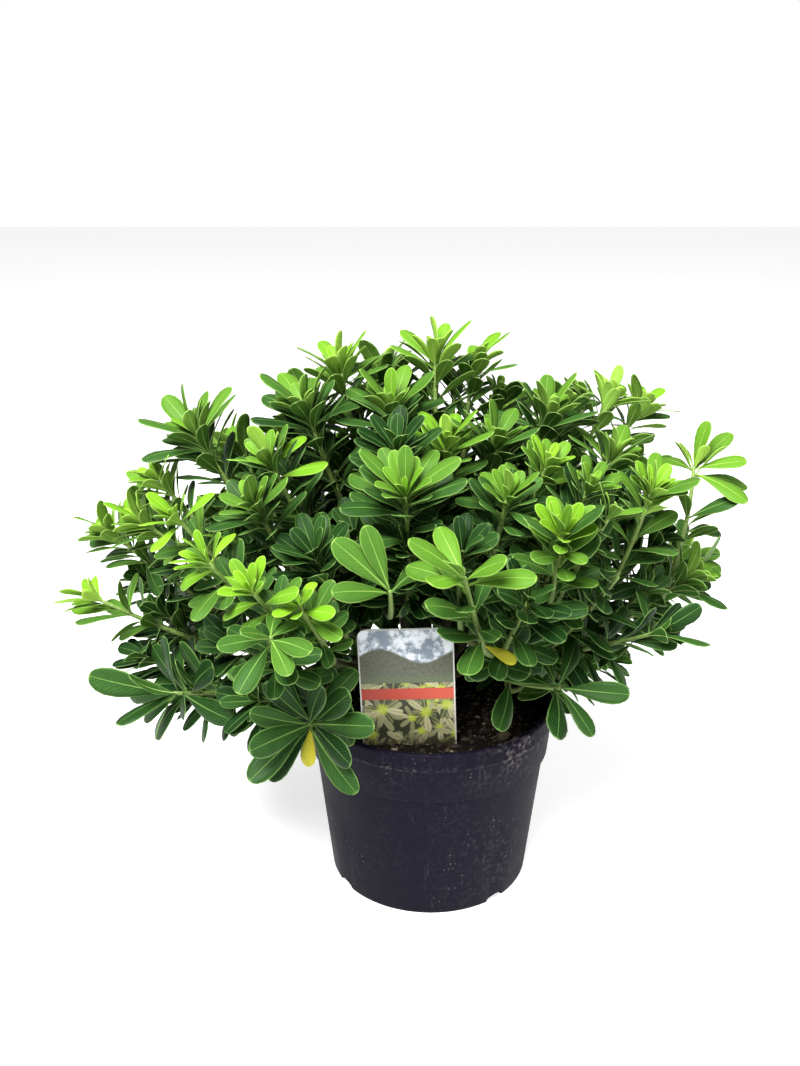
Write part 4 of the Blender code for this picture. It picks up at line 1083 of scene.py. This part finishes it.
class Nodes:
    """Shader nodes of one material, made and joined by short calls."""

    def __init__(self, name):
        self.material = bpy.data.materials.new(name)
        self.material.use_nodes = True
        self.tree = self.material.node_tree
        self.shader = self.tree.nodes["Principled BSDF"]

    def feed(self, socket, value):
        """Join a wire to an input, or set its number, vector or colour."""
        if isinstance(value, Wire):
            self.tree.links.new(value.socket, socket)
        elif socket.type == "RGBA":
            socket.default_value = (*value, 1.0)
        else:
            socket.default_value = value

    def node(self, kind, inputs, **settings):
        node = self.tree.nodes.new("ShaderNode" + kind)
        for key, value in settings.items():
            setattr(node, key, value)
        for key, value in inputs.items():
            self.feed(node.inputs[key], value)
        return node

    def out(self, kind, inputs, output=0, **settings):
        return Wire(self, self.node(kind, inputs, **settings).outputs[output])

    def math(self, operation, *values, clamp=False):
        return self.out("Math", dict(enumerate(values)), operation=operation, use_clamp=clamp)

    def ramp(self, value, low, high, out_low=0.0, out_high=1.0, kind="SMOOTHSTEP"):
        values = dict(enumerate((value, low, high, out_low, out_high)))
        return self.out("MapRange", values, interpolation_type=kind)

    def colours(self, value, *stops):
        node = self.node("ValToRGB", {0: value})
        elements = node.color_ramp.elements
        while len(elements) < len(stops):
            elements.new(0.5)
        for element, (place, colour) in zip(elements, stops):
            element.position = place
            element.color = (*colour, 1.0)
        return Wire(self, node.outputs[0])

    def mix(self, share, first, second, blend="MIX"):
        return self.out("Mix", {0: share, 6: first, 7: second}, 2, data_type="RGBA", blend_type=blend)

    def noise(self, scale, detail=3.0, rough=0.5, vector=None):
        place = vector or self.object_place()
        return self.out("TexNoise", {"Vector": place, "Scale": scale, "Detail": detail, "Roughness": rough})

    def cells(self, scale, feature="F1", output="Distance"):
        inputs = {"Vector": self.object_place(), "Scale": scale}
        return self.out("TexVoronoi", inputs, output, feature=feature)

    def object_place(self):
        return self.out("TexCoord", {}, "Object")

    def parts(self, vector):
        return [Wire(self, output) for output in self.node("SeparateXYZ", {0: vector}).outputs]

    def vector(self, x, y, z=0.0):
        return self.out("CombineXYZ", {0: x, 1: y, 2: z})

    def attribute(self, name, output):
        return self.out("Attribute", {}, output, attribute_name=name)

    def bump(self, height, distance, strength):
        inputs = {"Strength": strength, "Distance": distance, "Height": height}
        self.feed(self.shader.inputs["Normal"], self.out("Bump", inputs))

    def finish(self, colour, roughness, specular):
        self.feed(self.shader.inputs["Base Color"], colour)
        self.feed(self.shader.inputs["Roughness"], roughness)
        self.feed(self.shader.inputs["Specular IOR Level"], specular)
        return self.material


def leaf_material():
    """Glossy evergreen blade: lime when young, deep green when old, pale rib and veins, margin partly
    painted highlight.
    """
    n = Nodes("leaf")
    youth, chance, under = n.parts(n.attribute("look", "Color"))
    along, across, offset = n.parts(n.attribute("place", "Vector"))
    reach = n.math("ABSOLUTE", across)
    off = n.math("ABSOLUTE", offset)
    blotch = n.noise(90.0, 4.0, 0.6)
    tone = n.math("ADD", youth + (chance - 0.5) * 0.16, (blotch - 0.5) * 0.12, clamp=True)
    upper = n.colours(
        tone,
        (0.0, (0.004, 0.02, 0.003)),
        (0.25, (0.024, 0.072, 0.012)),
        (0.5, (0.07, 0.168, 0.013)),
        (0.74, (0.108, 0.255, 0.01)),
        (1.0, (0.155, 0.32, 0.012)),
    )
    lower = n.colours(
        tone,
        (0.0, (0.018, 0.068, 0.008)),
        (0.3, (0.07, 0.17, 0.02)),
        (0.6, (0.18, 0.34, 0.04)),
        (1.0, (0.28, 0.48, 0.05)),
    )
    rib_width = n.ramp(along, 0.0, 0.95, 0.1, 0.022, "LINEAR")
    rib = n.ramp(off, rib_width, rib_width * 0.4)
    slope = along * 15.0 - off * 3.4 + n.noise(150.0, 2.0) * 1.1
    wave = n.math("SINE", slope * (2.0 * math.pi))
    vein = n.ramp(wave, 0.72, 0.99) * n.ramp(reach, 0.9, 0.5)
    # Pale margin: partly the blade's own paler edge, partly a painted highlight along the edge.
    edge = n.math("MAXIMUM", n.ramp(reach, 0.86, 0.97), n.ramp(along, 0.966, 0.992))
    pale = n.mix(tone, (0.1, 0.2, 0.05), (0.38, 0.56, 0.09))
    colour = n.mix(vein * 0.1, upper, pale)
    colour = n.mix(rib * 0.75, colour, pale)
    colour = n.mix(edge * 0.55, colour, pale)
    beneath = n.mix(rib * 0.7, lower, (0.45, 0.6, 0.2))
    # Pale margin beneath: likewise partly the blade's own paler edge and partly painted highlight.
    beneath = n.mix(edge * 0.4, beneath, (0.42, 0.56, 0.2))
    colour = n.mix(under, colour, beneath)
    withered = n.mix(n.noise(60.0, 3.0), (0.42, 0.38, 0.02), (0.22, 0.22, 0.02))
    colour = n.mix(n.attribute("look", "Alpha"), colour, withered)
    shine = under * 0.3 + 0.38 + n.noise(120.0, 2.0) * 0.12
    n.bump(n.cells(420.0, "DISTANCE_TO_EDGE") * 0.5 - vein - rib * 1.5, 0.00025, 0.5)
    n.finish(colour, shine, 0.09)
    glow = n.out("BsdfTranslucent", {"Color": n.mix(0.6, colour, (0.4, 0.6, 0.02), "MULTIPLY")})
    both = n.out("MixShader", {0: 0.2, 1: Wire(n, n.shader.outputs[0]), 2: glow})
    n.feed(n.tree.nodes["Material Output"].inputs["Surface"], both)
    return n.material


def stem_material():
    """Green stems that turn to greyish olive bark towards the trunk."""
    n = Nodes("stem")
    youth = n.parts(n.attribute("look", "Color"))[0]
    far, turn, _ = n.parts(n.attribute("place", "Vector"))
    streak = n.noise(1.0, 4.0, 0.65, n.vector(far * 260.0, turn * 3.0))
    tone = n.math("ADD", youth, (n.noise(140.0, 4.0, 0.6) - 0.5) * 0.3, clamp=True)
    colour = n.colours(
        tone,
        (0.0, (0.03, 0.022, 0.012)),
        (0.3, (0.05, 0.06, 0.016)),
        (0.6, (0.07, 0.11, 0.02)),
        (1.0, (0.12, 0.2, 0.035)),
    )
    colour = n.mix(n.ramp(streak, 0.5, 0.75, 0.0, 0.5), colour, (0.06, 0.04, 0.022))
    ring = n.math("SINE", far * (2.0 * math.pi * 160.0))
    n.bump(streak + n.ramp(ring, 0.7, 1.0) * 0.5, 0.0006, 0.7)
    return n.finish(colour, n.ramp(tone, 0.0, 1.0, 0.8, 0.45), 0.4)


def pot_material():
    """Charcoal black moulded plastic with compost dust, scuffs and pale specks."""
    n = Nodes("pot_plastic")
    x, y, z = n.parts(n.object_place())
    cloud = n.noise(16.0, 5.0, 0.62)
    fine = n.noise(260.0, 3.0, 0.6)
    colour = n.mix(cloud, (0.0026, 0.002, 0.0052), (0.0058, 0.0048, 0.0108))
    ledge = n.ramp(z, 0.1325, 0.1345) * n.ramp(z, 0.1385, 0.1355)
    right = n.ramp(x, 0.015, 0.085) * (n.ramp(z, 0.09, 0.125) * 0.9 + 0.3)
    dusty = n.ramp(cloud, 0.36, 0.66) * (right + ledge * 0.5 + 0.08)
    dust = n.ramp(fine, 0.44, 0.72) * dusty
    colour = n.mix(dust, colour, (0.085, 0.077, 0.075))
    scuff = n.ramp(n.noise(170.0, 4.0, 0.7, n.vector(x, y, z * 0.12)), 0.6, 0.78)
    colour = n.mix(scuff * 0.22, colour, (0.08, 0.076, 0.095))
    speck = n.ramp(n.cells(230.0), 0.13, 0.07) * n.ramp(n.noise(30.0, 2.0), 0.56, 0.68)
    colour = n.mix(speck * 0.55, colour, (0.26, 0.25, 0.25))
    n.bump(fine * 0.6 + cloud * 2.0 + speck * 1.2, 0.0005, 0.55)
    return n.finish(colour, n.ramp(cloud, 0.3, 0.7, 0.44, 0.6) + dust * 0.3, 0.03)


def soil_material_painted_shade():
    """Moist dark compost with brown fibre and paler grains, darkened further as painted shade."""
    n = Nodes("compost")
    first, second, _ = n.parts(n.cells(620.0, output="Color"))
    clump = n.noise(110.0, 5.0, 0.7)
    # Ground colour: the compost's own dark brown, made darker still as painted shade from the crown above.
    colour = n.mix(clump, (0.001, 0.0008, 0.0006), (0.008, 0.0052, 0.0034))
    colour = n.mix(n.ramp(first, 0.8, 0.95, 0.0, 0.6), colour, (0.028, 0.018, 0.01))
    colour = n.mix(n.ramp(second, 0.965, 0.99, 0.0, 0.6), colour, (0.16, 0.14, 0.1))
    n.bump(clump - n.cells(620.0) * 0.6, 0.002, 0.9)
    return n.finish(colour, n.ramp(clump, 0.3, 0.7, 0.95, 0.7), 0.08)


def chip_material():
    """Bark chips and lumps on the compost, each with its own brown."""
    n = Nodes("bark_chips")
    colour = n.colours(
        n.parts(n.attribute("look", "Color"))[1],
        (0.0, (0.004, 0.003, 0.002)),
        (0.5, (0.014, 0.009, 0.005)),
        (0.85, (0.05, 0.038, 0.018)),
        (1.0, (0.16, 0.13, 0.09)),
    )
    fibre = n.noise(700.0, 3.0, 0.7)
    colour = n.mix(n.ramp(fibre, 0.4, 0.7, 0.0, 0.6), colour, (0.02, 0.013, 0.008))
    n.bump(fibre, 0.0006, 0.8)
    return n.finish(colour, 0.88, 0.3)


def tag_material():
    """Printed card: sky over a hill and lawn, a red band, and rosettes of rounded leaves."""
    n = Nodes("tag_print")
    across, up, front = n.parts(n.attribute("place", "Vector"))
    flat = n.vector(across, up * (TAG_TOP / TAG_WIDTH))
    sky = n.mix(n.ramp(n.noise(6.0, 4.0, 0.65, flat), 0.42, 0.6), (0.18, 0.22, 0.27), (0.7, 0.74, 0.78))
    hill = n.math("SINE", across * 7.0) * 0.06 + 0.78
    slope = n.mix(n.noise(26.0, 5.0, 0.7, flat), (0.02, 0.024, 0.014), (0.15, 0.155, 0.11))
    scene = n.mix(n.ramp(hill - up, -0.01, 0.02), sky, slope)
    lawn = n.mix(n.noise(60.0, 3.0, 0.6, flat), (0.045, 0.058, 0.03), (0.13, 0.15, 0.095))
    scene = n.mix(n.ramp(up, 0.62, 0.58), scene, lawn)
    scene = n.mix(n.ramp(up, 0.545, 0.54), scene, leaf_bed(n, flat))
    red = n.mix(n.ramp(across, 0.0, 1.0), (0.27, 0.03, 0.018), (0.4, 0.06, 0.034))
    scene = n.mix(n.ramp(up, 0.4, 0.406) * n.ramp(up, 0.5, 0.494), scene, red)
    rim = n.ramp(n.math("ABSOLUTE", across - 0.5), 0.484, 0.488)
    scene = n.mix(n.math("MAXIMUM", rim, n.ramp(up, 0.985, 0.988)), scene, (0.45, 0.45, 0.42))
    scene = n.mix(front, (0.5, 0.5, 0.48), scene)
    soiled = n.ramp(up, 0.13, 0.0) * n.ramp(n.noise(30.0, 4.0, 0.7, flat), 0.3, 0.55)
    scene = n.mix(soiled, scene, (0.02, 0.014, 0.009))
    scratch = n.noise(80.0, 3.0)
    n.bump(scratch, 0.0001, 0.2)
    return n.finish(scene, n.ramp(scratch, 0.3, 0.7, 0.28, 0.42), 0.2)


def leaf_bed(n, flat):
    """Overlapping rosettes of cream and grey-green leaves with yellow-green hearts, on a dark ground."""
    bed = n.mix(n.noise(40.0, 4.0, 0.6, flat), (0.006, 0.007, 0.004), (0.05, 0.055, 0.03))
    for scale, petals, lift in ((3.4, 7.0, 0.0), (2.1, 9.0, 0.35), (2.6, 8.0, 0.8)):
        place = n.out("VectorMath", {0: flat, 1: (lift, 1.7 * lift, 0.0)}, operation="ADD")
        spot = n.node("TexVoronoi", {"Vector": place, "Scale": scale, "Randomness": 0.9}).outputs
        away = n.out("VectorMath", {0: place, 1: Wire(n, spot["Position"])}, operation="SUBTRACT")
        x, y, _ = n.parts(away)
        reach = n.math("SQRT", x * x + y * y) * scale
        chance, other, _ = n.parts(Wire(n, spot["Color"]))
        angle = n.math("DIVIDE", n.math("ARCTAN2", y, x), 2.0 * math.pi)
        turn = angle * petals + chance * 3.0
        lobe = n.math("COSINE", turn * (2.0 * math.pi)) * 0.5 + 0.5
        petal = n.math("FLOOR", turn + 0.5)
        shade = n.noise(1.0, 0.0, 0.5, n.vector(petal * 3.7, other * 9.0))
        edge = n.math("POWER", lobe, 0.4) * (shade * 0.5 + 0.32)
        leaf = n.mix(n.ramp(shade, 0.35, 0.7), (0.045, 0.052, 0.024), (0.36, 0.33, 0.2))
        leaf = n.mix(n.ramp(lobe, 0.9, 1.0, 0.0, 0.7), leaf, (0.2, 0.22, 0.08))
        leaf = n.mix(n.ramp(reach, 0.22, 0.08, 0.0, 0.8), leaf, (0.34, 0.4, 0.04))
        bed = n.mix(n.ramp(edge - reach, 0.0, 0.05), bed, leaf)
    return bed


def floor_material():
    n = Nodes("pale_floor")
    n.feed(n.shader.inputs["Emission Color"], (1.0, 1.0, 1.0))
    n.feed(n.shader.inputs["Emission Strength"], FLOOR_GLOW)
    return n.finish(n.mix(n.noise(40.0, 4.0), (0.66, 0.66, 0.66), (0.7, 0.7, 0.7)), 0.9, 0.2)


def mesh_object(name, points, faces, material, angle=None):
    """An object from points and faces; angle in degrees keeps edges sharper than it."""
    mesh = bpy.data.meshes.new(name)
    mesh.from_pydata([tuple(p) for p in points], [], faces)
    mesh.materials.append(material)
    mesh.shade_smooth()
    if angle is not None:
        mesh.set_sharp_from_angle(angle=math.radians(angle))
    return new_object(name, mesh)


def turned(profile):
    """A (radius, height) outline in mm turned about the Z axis, where a radius of 0 is one point and
    a height may be a function of the place."""
    points = []
    rings = []
    for radius, height in profile:
        ring = []
        for i in range(FINE_SIDES if radius else 1):
            angle = 2.0 * math.pi * i / FINE_SIDES
            x, y = radius * math.cos(angle), radius * math.sin(angle)
            ring.append(len(points))
            points.append(Vector((x, y, height(x, y) if callable(height) else height)) * MM)
        rings.append(ring)
    faces = []
    for low, high in zip(rings, rings[1:]):
        for i in range(FINE_SIDES):
            j = (i + 1) % FINE_SIDES
            face = (low[i % len(low)], low[j % len(low)], high[j % len(high)], high[i % len(high)])
            faces.append(tuple(dict.fromkeys(face)))
    if len(rings[-1]) > 1:
        faces.append(tuple(rings[-1]))
    return points, faces


def make_pot():
    """The nursery pot with its rounded rim, collar, step and base edge, and the drain notches cut."""
    pot = mesh_object("pot_shell", *turned(POT_PROFILE), pot_material())
    group = bpy.data.collections.new("notches")
    bpy.context.scene.collection.children.link(group)
    cutters = [notch_cutter(math.radians(bearing - 90.0)) for bearing in NOTCH_BEARINGS]
    for cutter in cutters:
        bpy.context.scene.collection.objects.unlink(cutter)
        group.objects.link(cutter)
    modifier = pot.modifiers.new("notches", "BOOLEAN")
    modifier.operation = "DIFFERENCE"
    modifier.operand_type = "COLLECTION"
    modifier.collection = group
    bpy.context.view_layer.update()
    pot.data = bpy.data.meshes.new_from_object(pot.evaluated_get(bpy.context.evaluated_depsgraph_get()))
    pot.modifiers.clear()
    for cutter in cutters:
        bpy.data.objects.remove(cutter)
    bpy.data.collections.remove(group)
    pot.data.shade_smooth()
    pot.data.set_sharp_from_angle(angle=math.radians(50.0))
    return pot


def notch_cutter(angle):
    """An arch-shaped bar that cuts a drain notch through the base edge."""
    outline = [(-0.5 * NOTCH_WIDTH, -2.0), (0.5 * NOTCH_WIDTH, -2.0)]
    for i in range(7):
        turn = math.pi * i / 6.0
        outline.append((0.5 * NOTCH_WIDTH * math.cos(turn), 2.4 + (NOTCH_HEIGHT - 2.4) * math.sin(turn)))
    points = []
    for reach in (NOTCH_INNER, NOTCH_OUTER):
        for across, height in outline:
            x = reach * math.cos(angle) - across * math.sin(angle)
            y = reach * math.sin(angle) + across * math.cos(angle)
            points.append(Vector((x, y, height)) * MM)
    count = len(outline)
    faces = [tuple(reversed(range(count))), tuple(range(count, 2 * count))]
    return mesh_object("notch", points, faces + band(0, count, count), None)


def soil_height(x, y):
    """Height of the compost in mm at a place in mm: a low mound with clods."""
    radius = math.hypot(x, y)
    mound = 135.6 - 3.4 * (radius / 90.0) ** 2
    clods = noise.fractal(Vector((x, y, 3.0)) / 14.0, 0.9, 2.1, 4)
    return mound + 1.1 * clods


def make_soil():
    """Compost as a closed plug with a lumpy top that runs up to the stem."""
    hole = STEM_HOLE_RADIUS - 0.2
    top = [(between((SOIL_RADIUS, hole), i / SOIL_RINGS), soil_height) for i in range(SOIL_RINGS + 1)]
    return mesh_object("compost", *turned([*SOIL_SIDE, *top, (hole, 122.0)]), soil_material_painted_shade())


def chip_mesh():
    """Twelve corners of an icosahedron and its faces, the start of every chip."""
    g = 0.5 * (1.0 + math.sqrt(5.0))
    corners = []
    for a in (-1.0, 1.0):
        for b in (-g, g):
            corners += [(a, b, 0.0), (0.0, a, b), (b, 0.0, a)]
    corners = np.array(corners) / math.hypot(1.0, g)
    faces = []
    for i in range(12):
        for j in range(i + 1, 12):
            for k in range(j + 1, 12):
                a, b, c = corners[i], corners[j], corners[k]
                if max(np.linalg.norm(a - b), np.linalg.norm(b - c), np.linalg.norm(a - c)) < 1.1:
                    turned_out = np.dot(np.cross(b - a, c - a), a + b + c) > 0
                    faces.append((i, j, k, -1) if turned_out else (i, k, j, -1))
    return corners, np.array(faces)


def turn_matrix(turn):
    return np.array([[math.cos(turn), -math.sin(turn), 0], [math.sin(turn), math.cos(turn), 0], [0, 0, 1]])


def lean_matrix(tilt):
    return np.array([[1, 0, 0], [0, math.cos(tilt), -math.sin(tilt)], [0, math.sin(tilt), math.cos(tilt)]])


def make_chips():
    """Bark, fibre and clods that lie on the compost, sunk a little into it."""
    draw = random.Random(SEED + 5)
    corners, faces = chip_mesh()
    build = Build()
    for index in range(CHIPS + 1):
        lump = index == CHIPS
        radius = SOIL_RADIUS * math.sqrt(draw.uniform(0.02, 0.92))
        angle = draw.uniform(0.0, 2.0 * math.pi)
        x, y = radius * math.cos(angle), radius * math.sin(angle)
        size = np.array([draw.uniform(1.4, 4.8), draw.uniform(0.9, 2.4), draw.uniform(0.5, 1.4)])
        if lump:
            x, y, size = *LUMP_PLACE, np.array(LUMP_SIZE)
        shape = corners * size * (1.0 + 0.3 * np.array([[draw.uniform(-1, 1)] for _ in range(12)]))
        spin = turn_matrix(draw.uniform(0.0, 2.0 * math.pi))
        shape = shape @ (spin @ lean_matrix(draw.uniform(-0.4, 0.4))).T
        points = (shape + np.array([x, y, soil_height(x, y) + 0.35 * size[2]])) * MM
        if math.hypot(x, y) + size.max() * 1.3 > SOIL_RADIUS:
            continue
        look = np.zeros((12, 4))
        look[:, 1] = 0.72 if lump else draw.random() ** 1.6
        build.add(points, faces, look, np.zeros((12, 3)), 0)
    return build.object("bark_chips", [chip_material()])


def tag_outline():
    """Half widths and heights round the tag in mm, from its foot up the right side and down the left."""
    half = 0.5 * TAG_WIDTH
    right = [(0.0, -TAG_POINT), (half, -TAG_SHOULDER)]
    for i in range(7):
        angle = math.radians(15.0 * i)
        x = half - TAG_CORNER + TAG_CORNER * math.cos(angle)
        right.append((x, TAG_TOP - TAG_CORNER + TAG_CORNER * math.sin(angle)))
    return right + [(-x, z) for x, z in reversed(right) if x > 0.0]


def make_tag():
    """The picture tag as a thin plate with rounded corners and a softened edge."""
    outline = tag_outline()
    count = len(outline)
    middle = Vector((0.0, 0.45 * TAG_TOP))
    flat = []
    for depth, shrink in ((-0.5, TAG_EDGE), (-0.5 + TAG_EDGE, 0.0), (0.5 - TAG_EDGE, 0.0), (0.5, TAG_EDGE)):
        for corner in outline:
            way = (Vector(corner) - middle).normalized() * shrink
            flat.append((corner[0] - way.x, depth * TAG_THICKNESS, corner[1] - way.y))
    roll, yaw = math.radians(TAG_ROLL), math.radians(TAG_YAW)
    points = []
    for x, y, z in flat:
        across = x * math.cos(roll) + z * math.sin(roll)
        rise = -x * math.sin(roll) + z * math.cos(roll)
        back = across * math.sin(yaw) + y * math.cos(yaw)
        across = across * math.cos(yaw) - y * math.sin(yaw)
        points.append(Vector(TAG_FOOT) * CM + Vector((across, back, rise)) * MM)
    faces = [tuple(range(count)), tuple(reversed(range(3 * count, 4 * count)))]
    for ring in range(3):
        faces += band((ring + 1) * count, ring * count, count)
    tag = mesh_object("picture_tag", points, faces, tag_material(), 40.0)
    place = tag.data.attributes.new("place", "FLOAT_VECTOR", "POINT")
    for i, (x, y, z) in enumerate(flat):
        place.data[i].vector = (x / TAG_WIDTH + 0.5, z / TAG_TOP, 1.0 if y < 0.0 else 0.0)
    return tag


def make_branches(shoots, material):
    """Trunk, limbs and twigs with rounder sections, on the lines of the CAD ones."""
    build = Build()
    foot, bend = [Vector((0.0, 0.0, height * MM)) for height in (TRUNK_FOOT, TRUNK_BEND)]
    crown = Vector(CROWN) * CM
    trunk = [foot.lerp(bend, i / 4.0) for i in range(4)] + [bend.lerp(crown, i / 4.0) for i in range(5)]
    radii = [TRUNK_RADIUS * MM] * 4 + tapered((TRUNK_RADIUS, CROWN_RADIUS), 4)
    add_tube(build, trunk, radii, 18, (0.0, 0.05), 0, 0.012)
    for letter in FORKS:
        add_tube(build, limb_path(letter, 8)[0], tapered(LIMB_RADII, 8), 12, (0.05, 0.25), 0, 0.04)
    for shoot in shoots:
        youths = (0.25, 0.5 if shoot.row.tone == "dark" else 0.66)
        add_tube(build, twig_path(shoot.row, 8), tapered(TWIG_RADII, 8), 10, youths, 0, 0.05)
    return build.object("woody_branches", [material])


def make_shoot(shoot, materials, fine_grid, plain_grid):
    """One leafy stem: a fine stem with its leaves, as one piece."""
    draw = random.Random(SEED + sum(ord(letter) for letter in shoot.name) * 31)
    build = Build()
    path = shoot.upper.fine
    filling = shoot.name.startswith("filling")
    if filling:
        path = [path[0] - shoot.foot_way * (2.0 * MM)] + path
    youths = (0.6, 0.75 if shoot.row.tone == "dark" else 0.95)
    add_tube(build, path, tapered(STEM_RADII, len(path) - 1), 8, youths, 1, 0.03)
    for stalk in (shoot.upper, shoot.lower):
        grid = plain_grid if filling or stalk is shoot.lower else fine_grid
        for plan, youth in stalk.leaves:
            add_leaf(build, stalk, plan, youth, grid, draw)
    return build.object(shoot.name + "_foliage", materials)


def add_light(name, place, size, power):
    """A round lamp aimed at the middle of the plant."""
    data = bpy.data.lights.new(name, "AREA")
    data.shape = "DISK"
    data.size = size
    data.energy = power
    light = new_object(name, data)
    light.location = place
    light.rotation_euler = (Vector(LAMP_AIM) - Vector(place)).to_track_quat("-Z", "Y").to_euler()


def stage_and_camera():
    scene = bpy.context.scene
    scene.view_settings.view_transform = "Standard"
    camera = new_object("camera", bpy.data.cameras.new("camera"))
    camera.data.sensor_width = SENSOR
    camera.data.lens = SENSOR * FOCAL_PIXELS / PHOTO_HEIGHT
    camera.location = CAMERA_PLACE
    camera.rotation_euler = (math.radians(90.0 - CAMERA_TILT), 0.0, 0.0)
    scene.camera = camera
    scene.world = bpy.data.worlds.new("studio")
    scene.world.use_nodes = True
    tree = scene.world.node_tree
    background = tree.nodes["Background"]
    background.inputs["Color"].default_value = (1.0, 1.0, 1.0, 1.0)
    strength = tree.nodes.new("ShaderNodeMapRange")
    strength.inputs["To Min"].default_value = WORLD_LIGHT
    strength.inputs["To Max"].default_value = 1.0
    seen = tree.nodes.new("ShaderNodeLightPath")
    tree.links.new(seen.outputs["Is Camera Ray"], strength.inputs["Value"])
    tree.links.new(strength.outputs["Result"], background.inputs["Strength"])
    add_light("key", (-0.5, -1.0, 1.9), 1.3, KEY_LIGHT)
    add_light("fill", (1.3, -1.3, 0.9), 1.2, FILL_LIGHT)
    side = 0.5 * FLOOR_SIZE
    corners = [(-side, -side, 0.0), (side, -side, 0.0), (side, side, 0.0), (-side, side, 0.0)]
    mesh_object("floor", corners, [(0, 1, 2, 3)], floor_material())


def main():
    stage_and_camera()
    crowd = Crowd(0.03)
    for name in ("pot", "soil", "plant_tag"):
        crowd.append(node_piece(name))
    for piece in branch_pieces(SHOOTS):
        crowd.append(Piece("branches", piece))
    shoots = cad_shoots(crowd)
    draw = random.Random(SEED)
    extra = extra_shoots(crowd, draw)
    wither(shoots, crowd, draw)
    fill_out(shoots + extra, crowd, draw)

    materials = [leaf_material(), stem_material()]
    fine_grid, plain_grid = leaf_grid(LEAF_ROWS), leaf_grid(PLAIN_ROWS)
    for shoot in shoots + extra:
        obj = make_shoot(shoot, materials, fine_grid, plain_grid)
        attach(obj, "root")
        shoot.row.tone + "_leaf"
        if shoot in shoots:
            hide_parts(shoot.name)
    pieces = (
        (make_branches(shoots + extra, materials[1]), "bark", "branches"),
        (make_pot(), "pot_plastic", "pot"),
        (make_soil(), "compost", "soil"),
        (make_chips(), "compost", None),
        (make_tag(), "tag_print", "plant_tag"),
    )
    for obj, slot, node in pieces:
        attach(obj, "root")
        if node:
            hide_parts(node)


main()
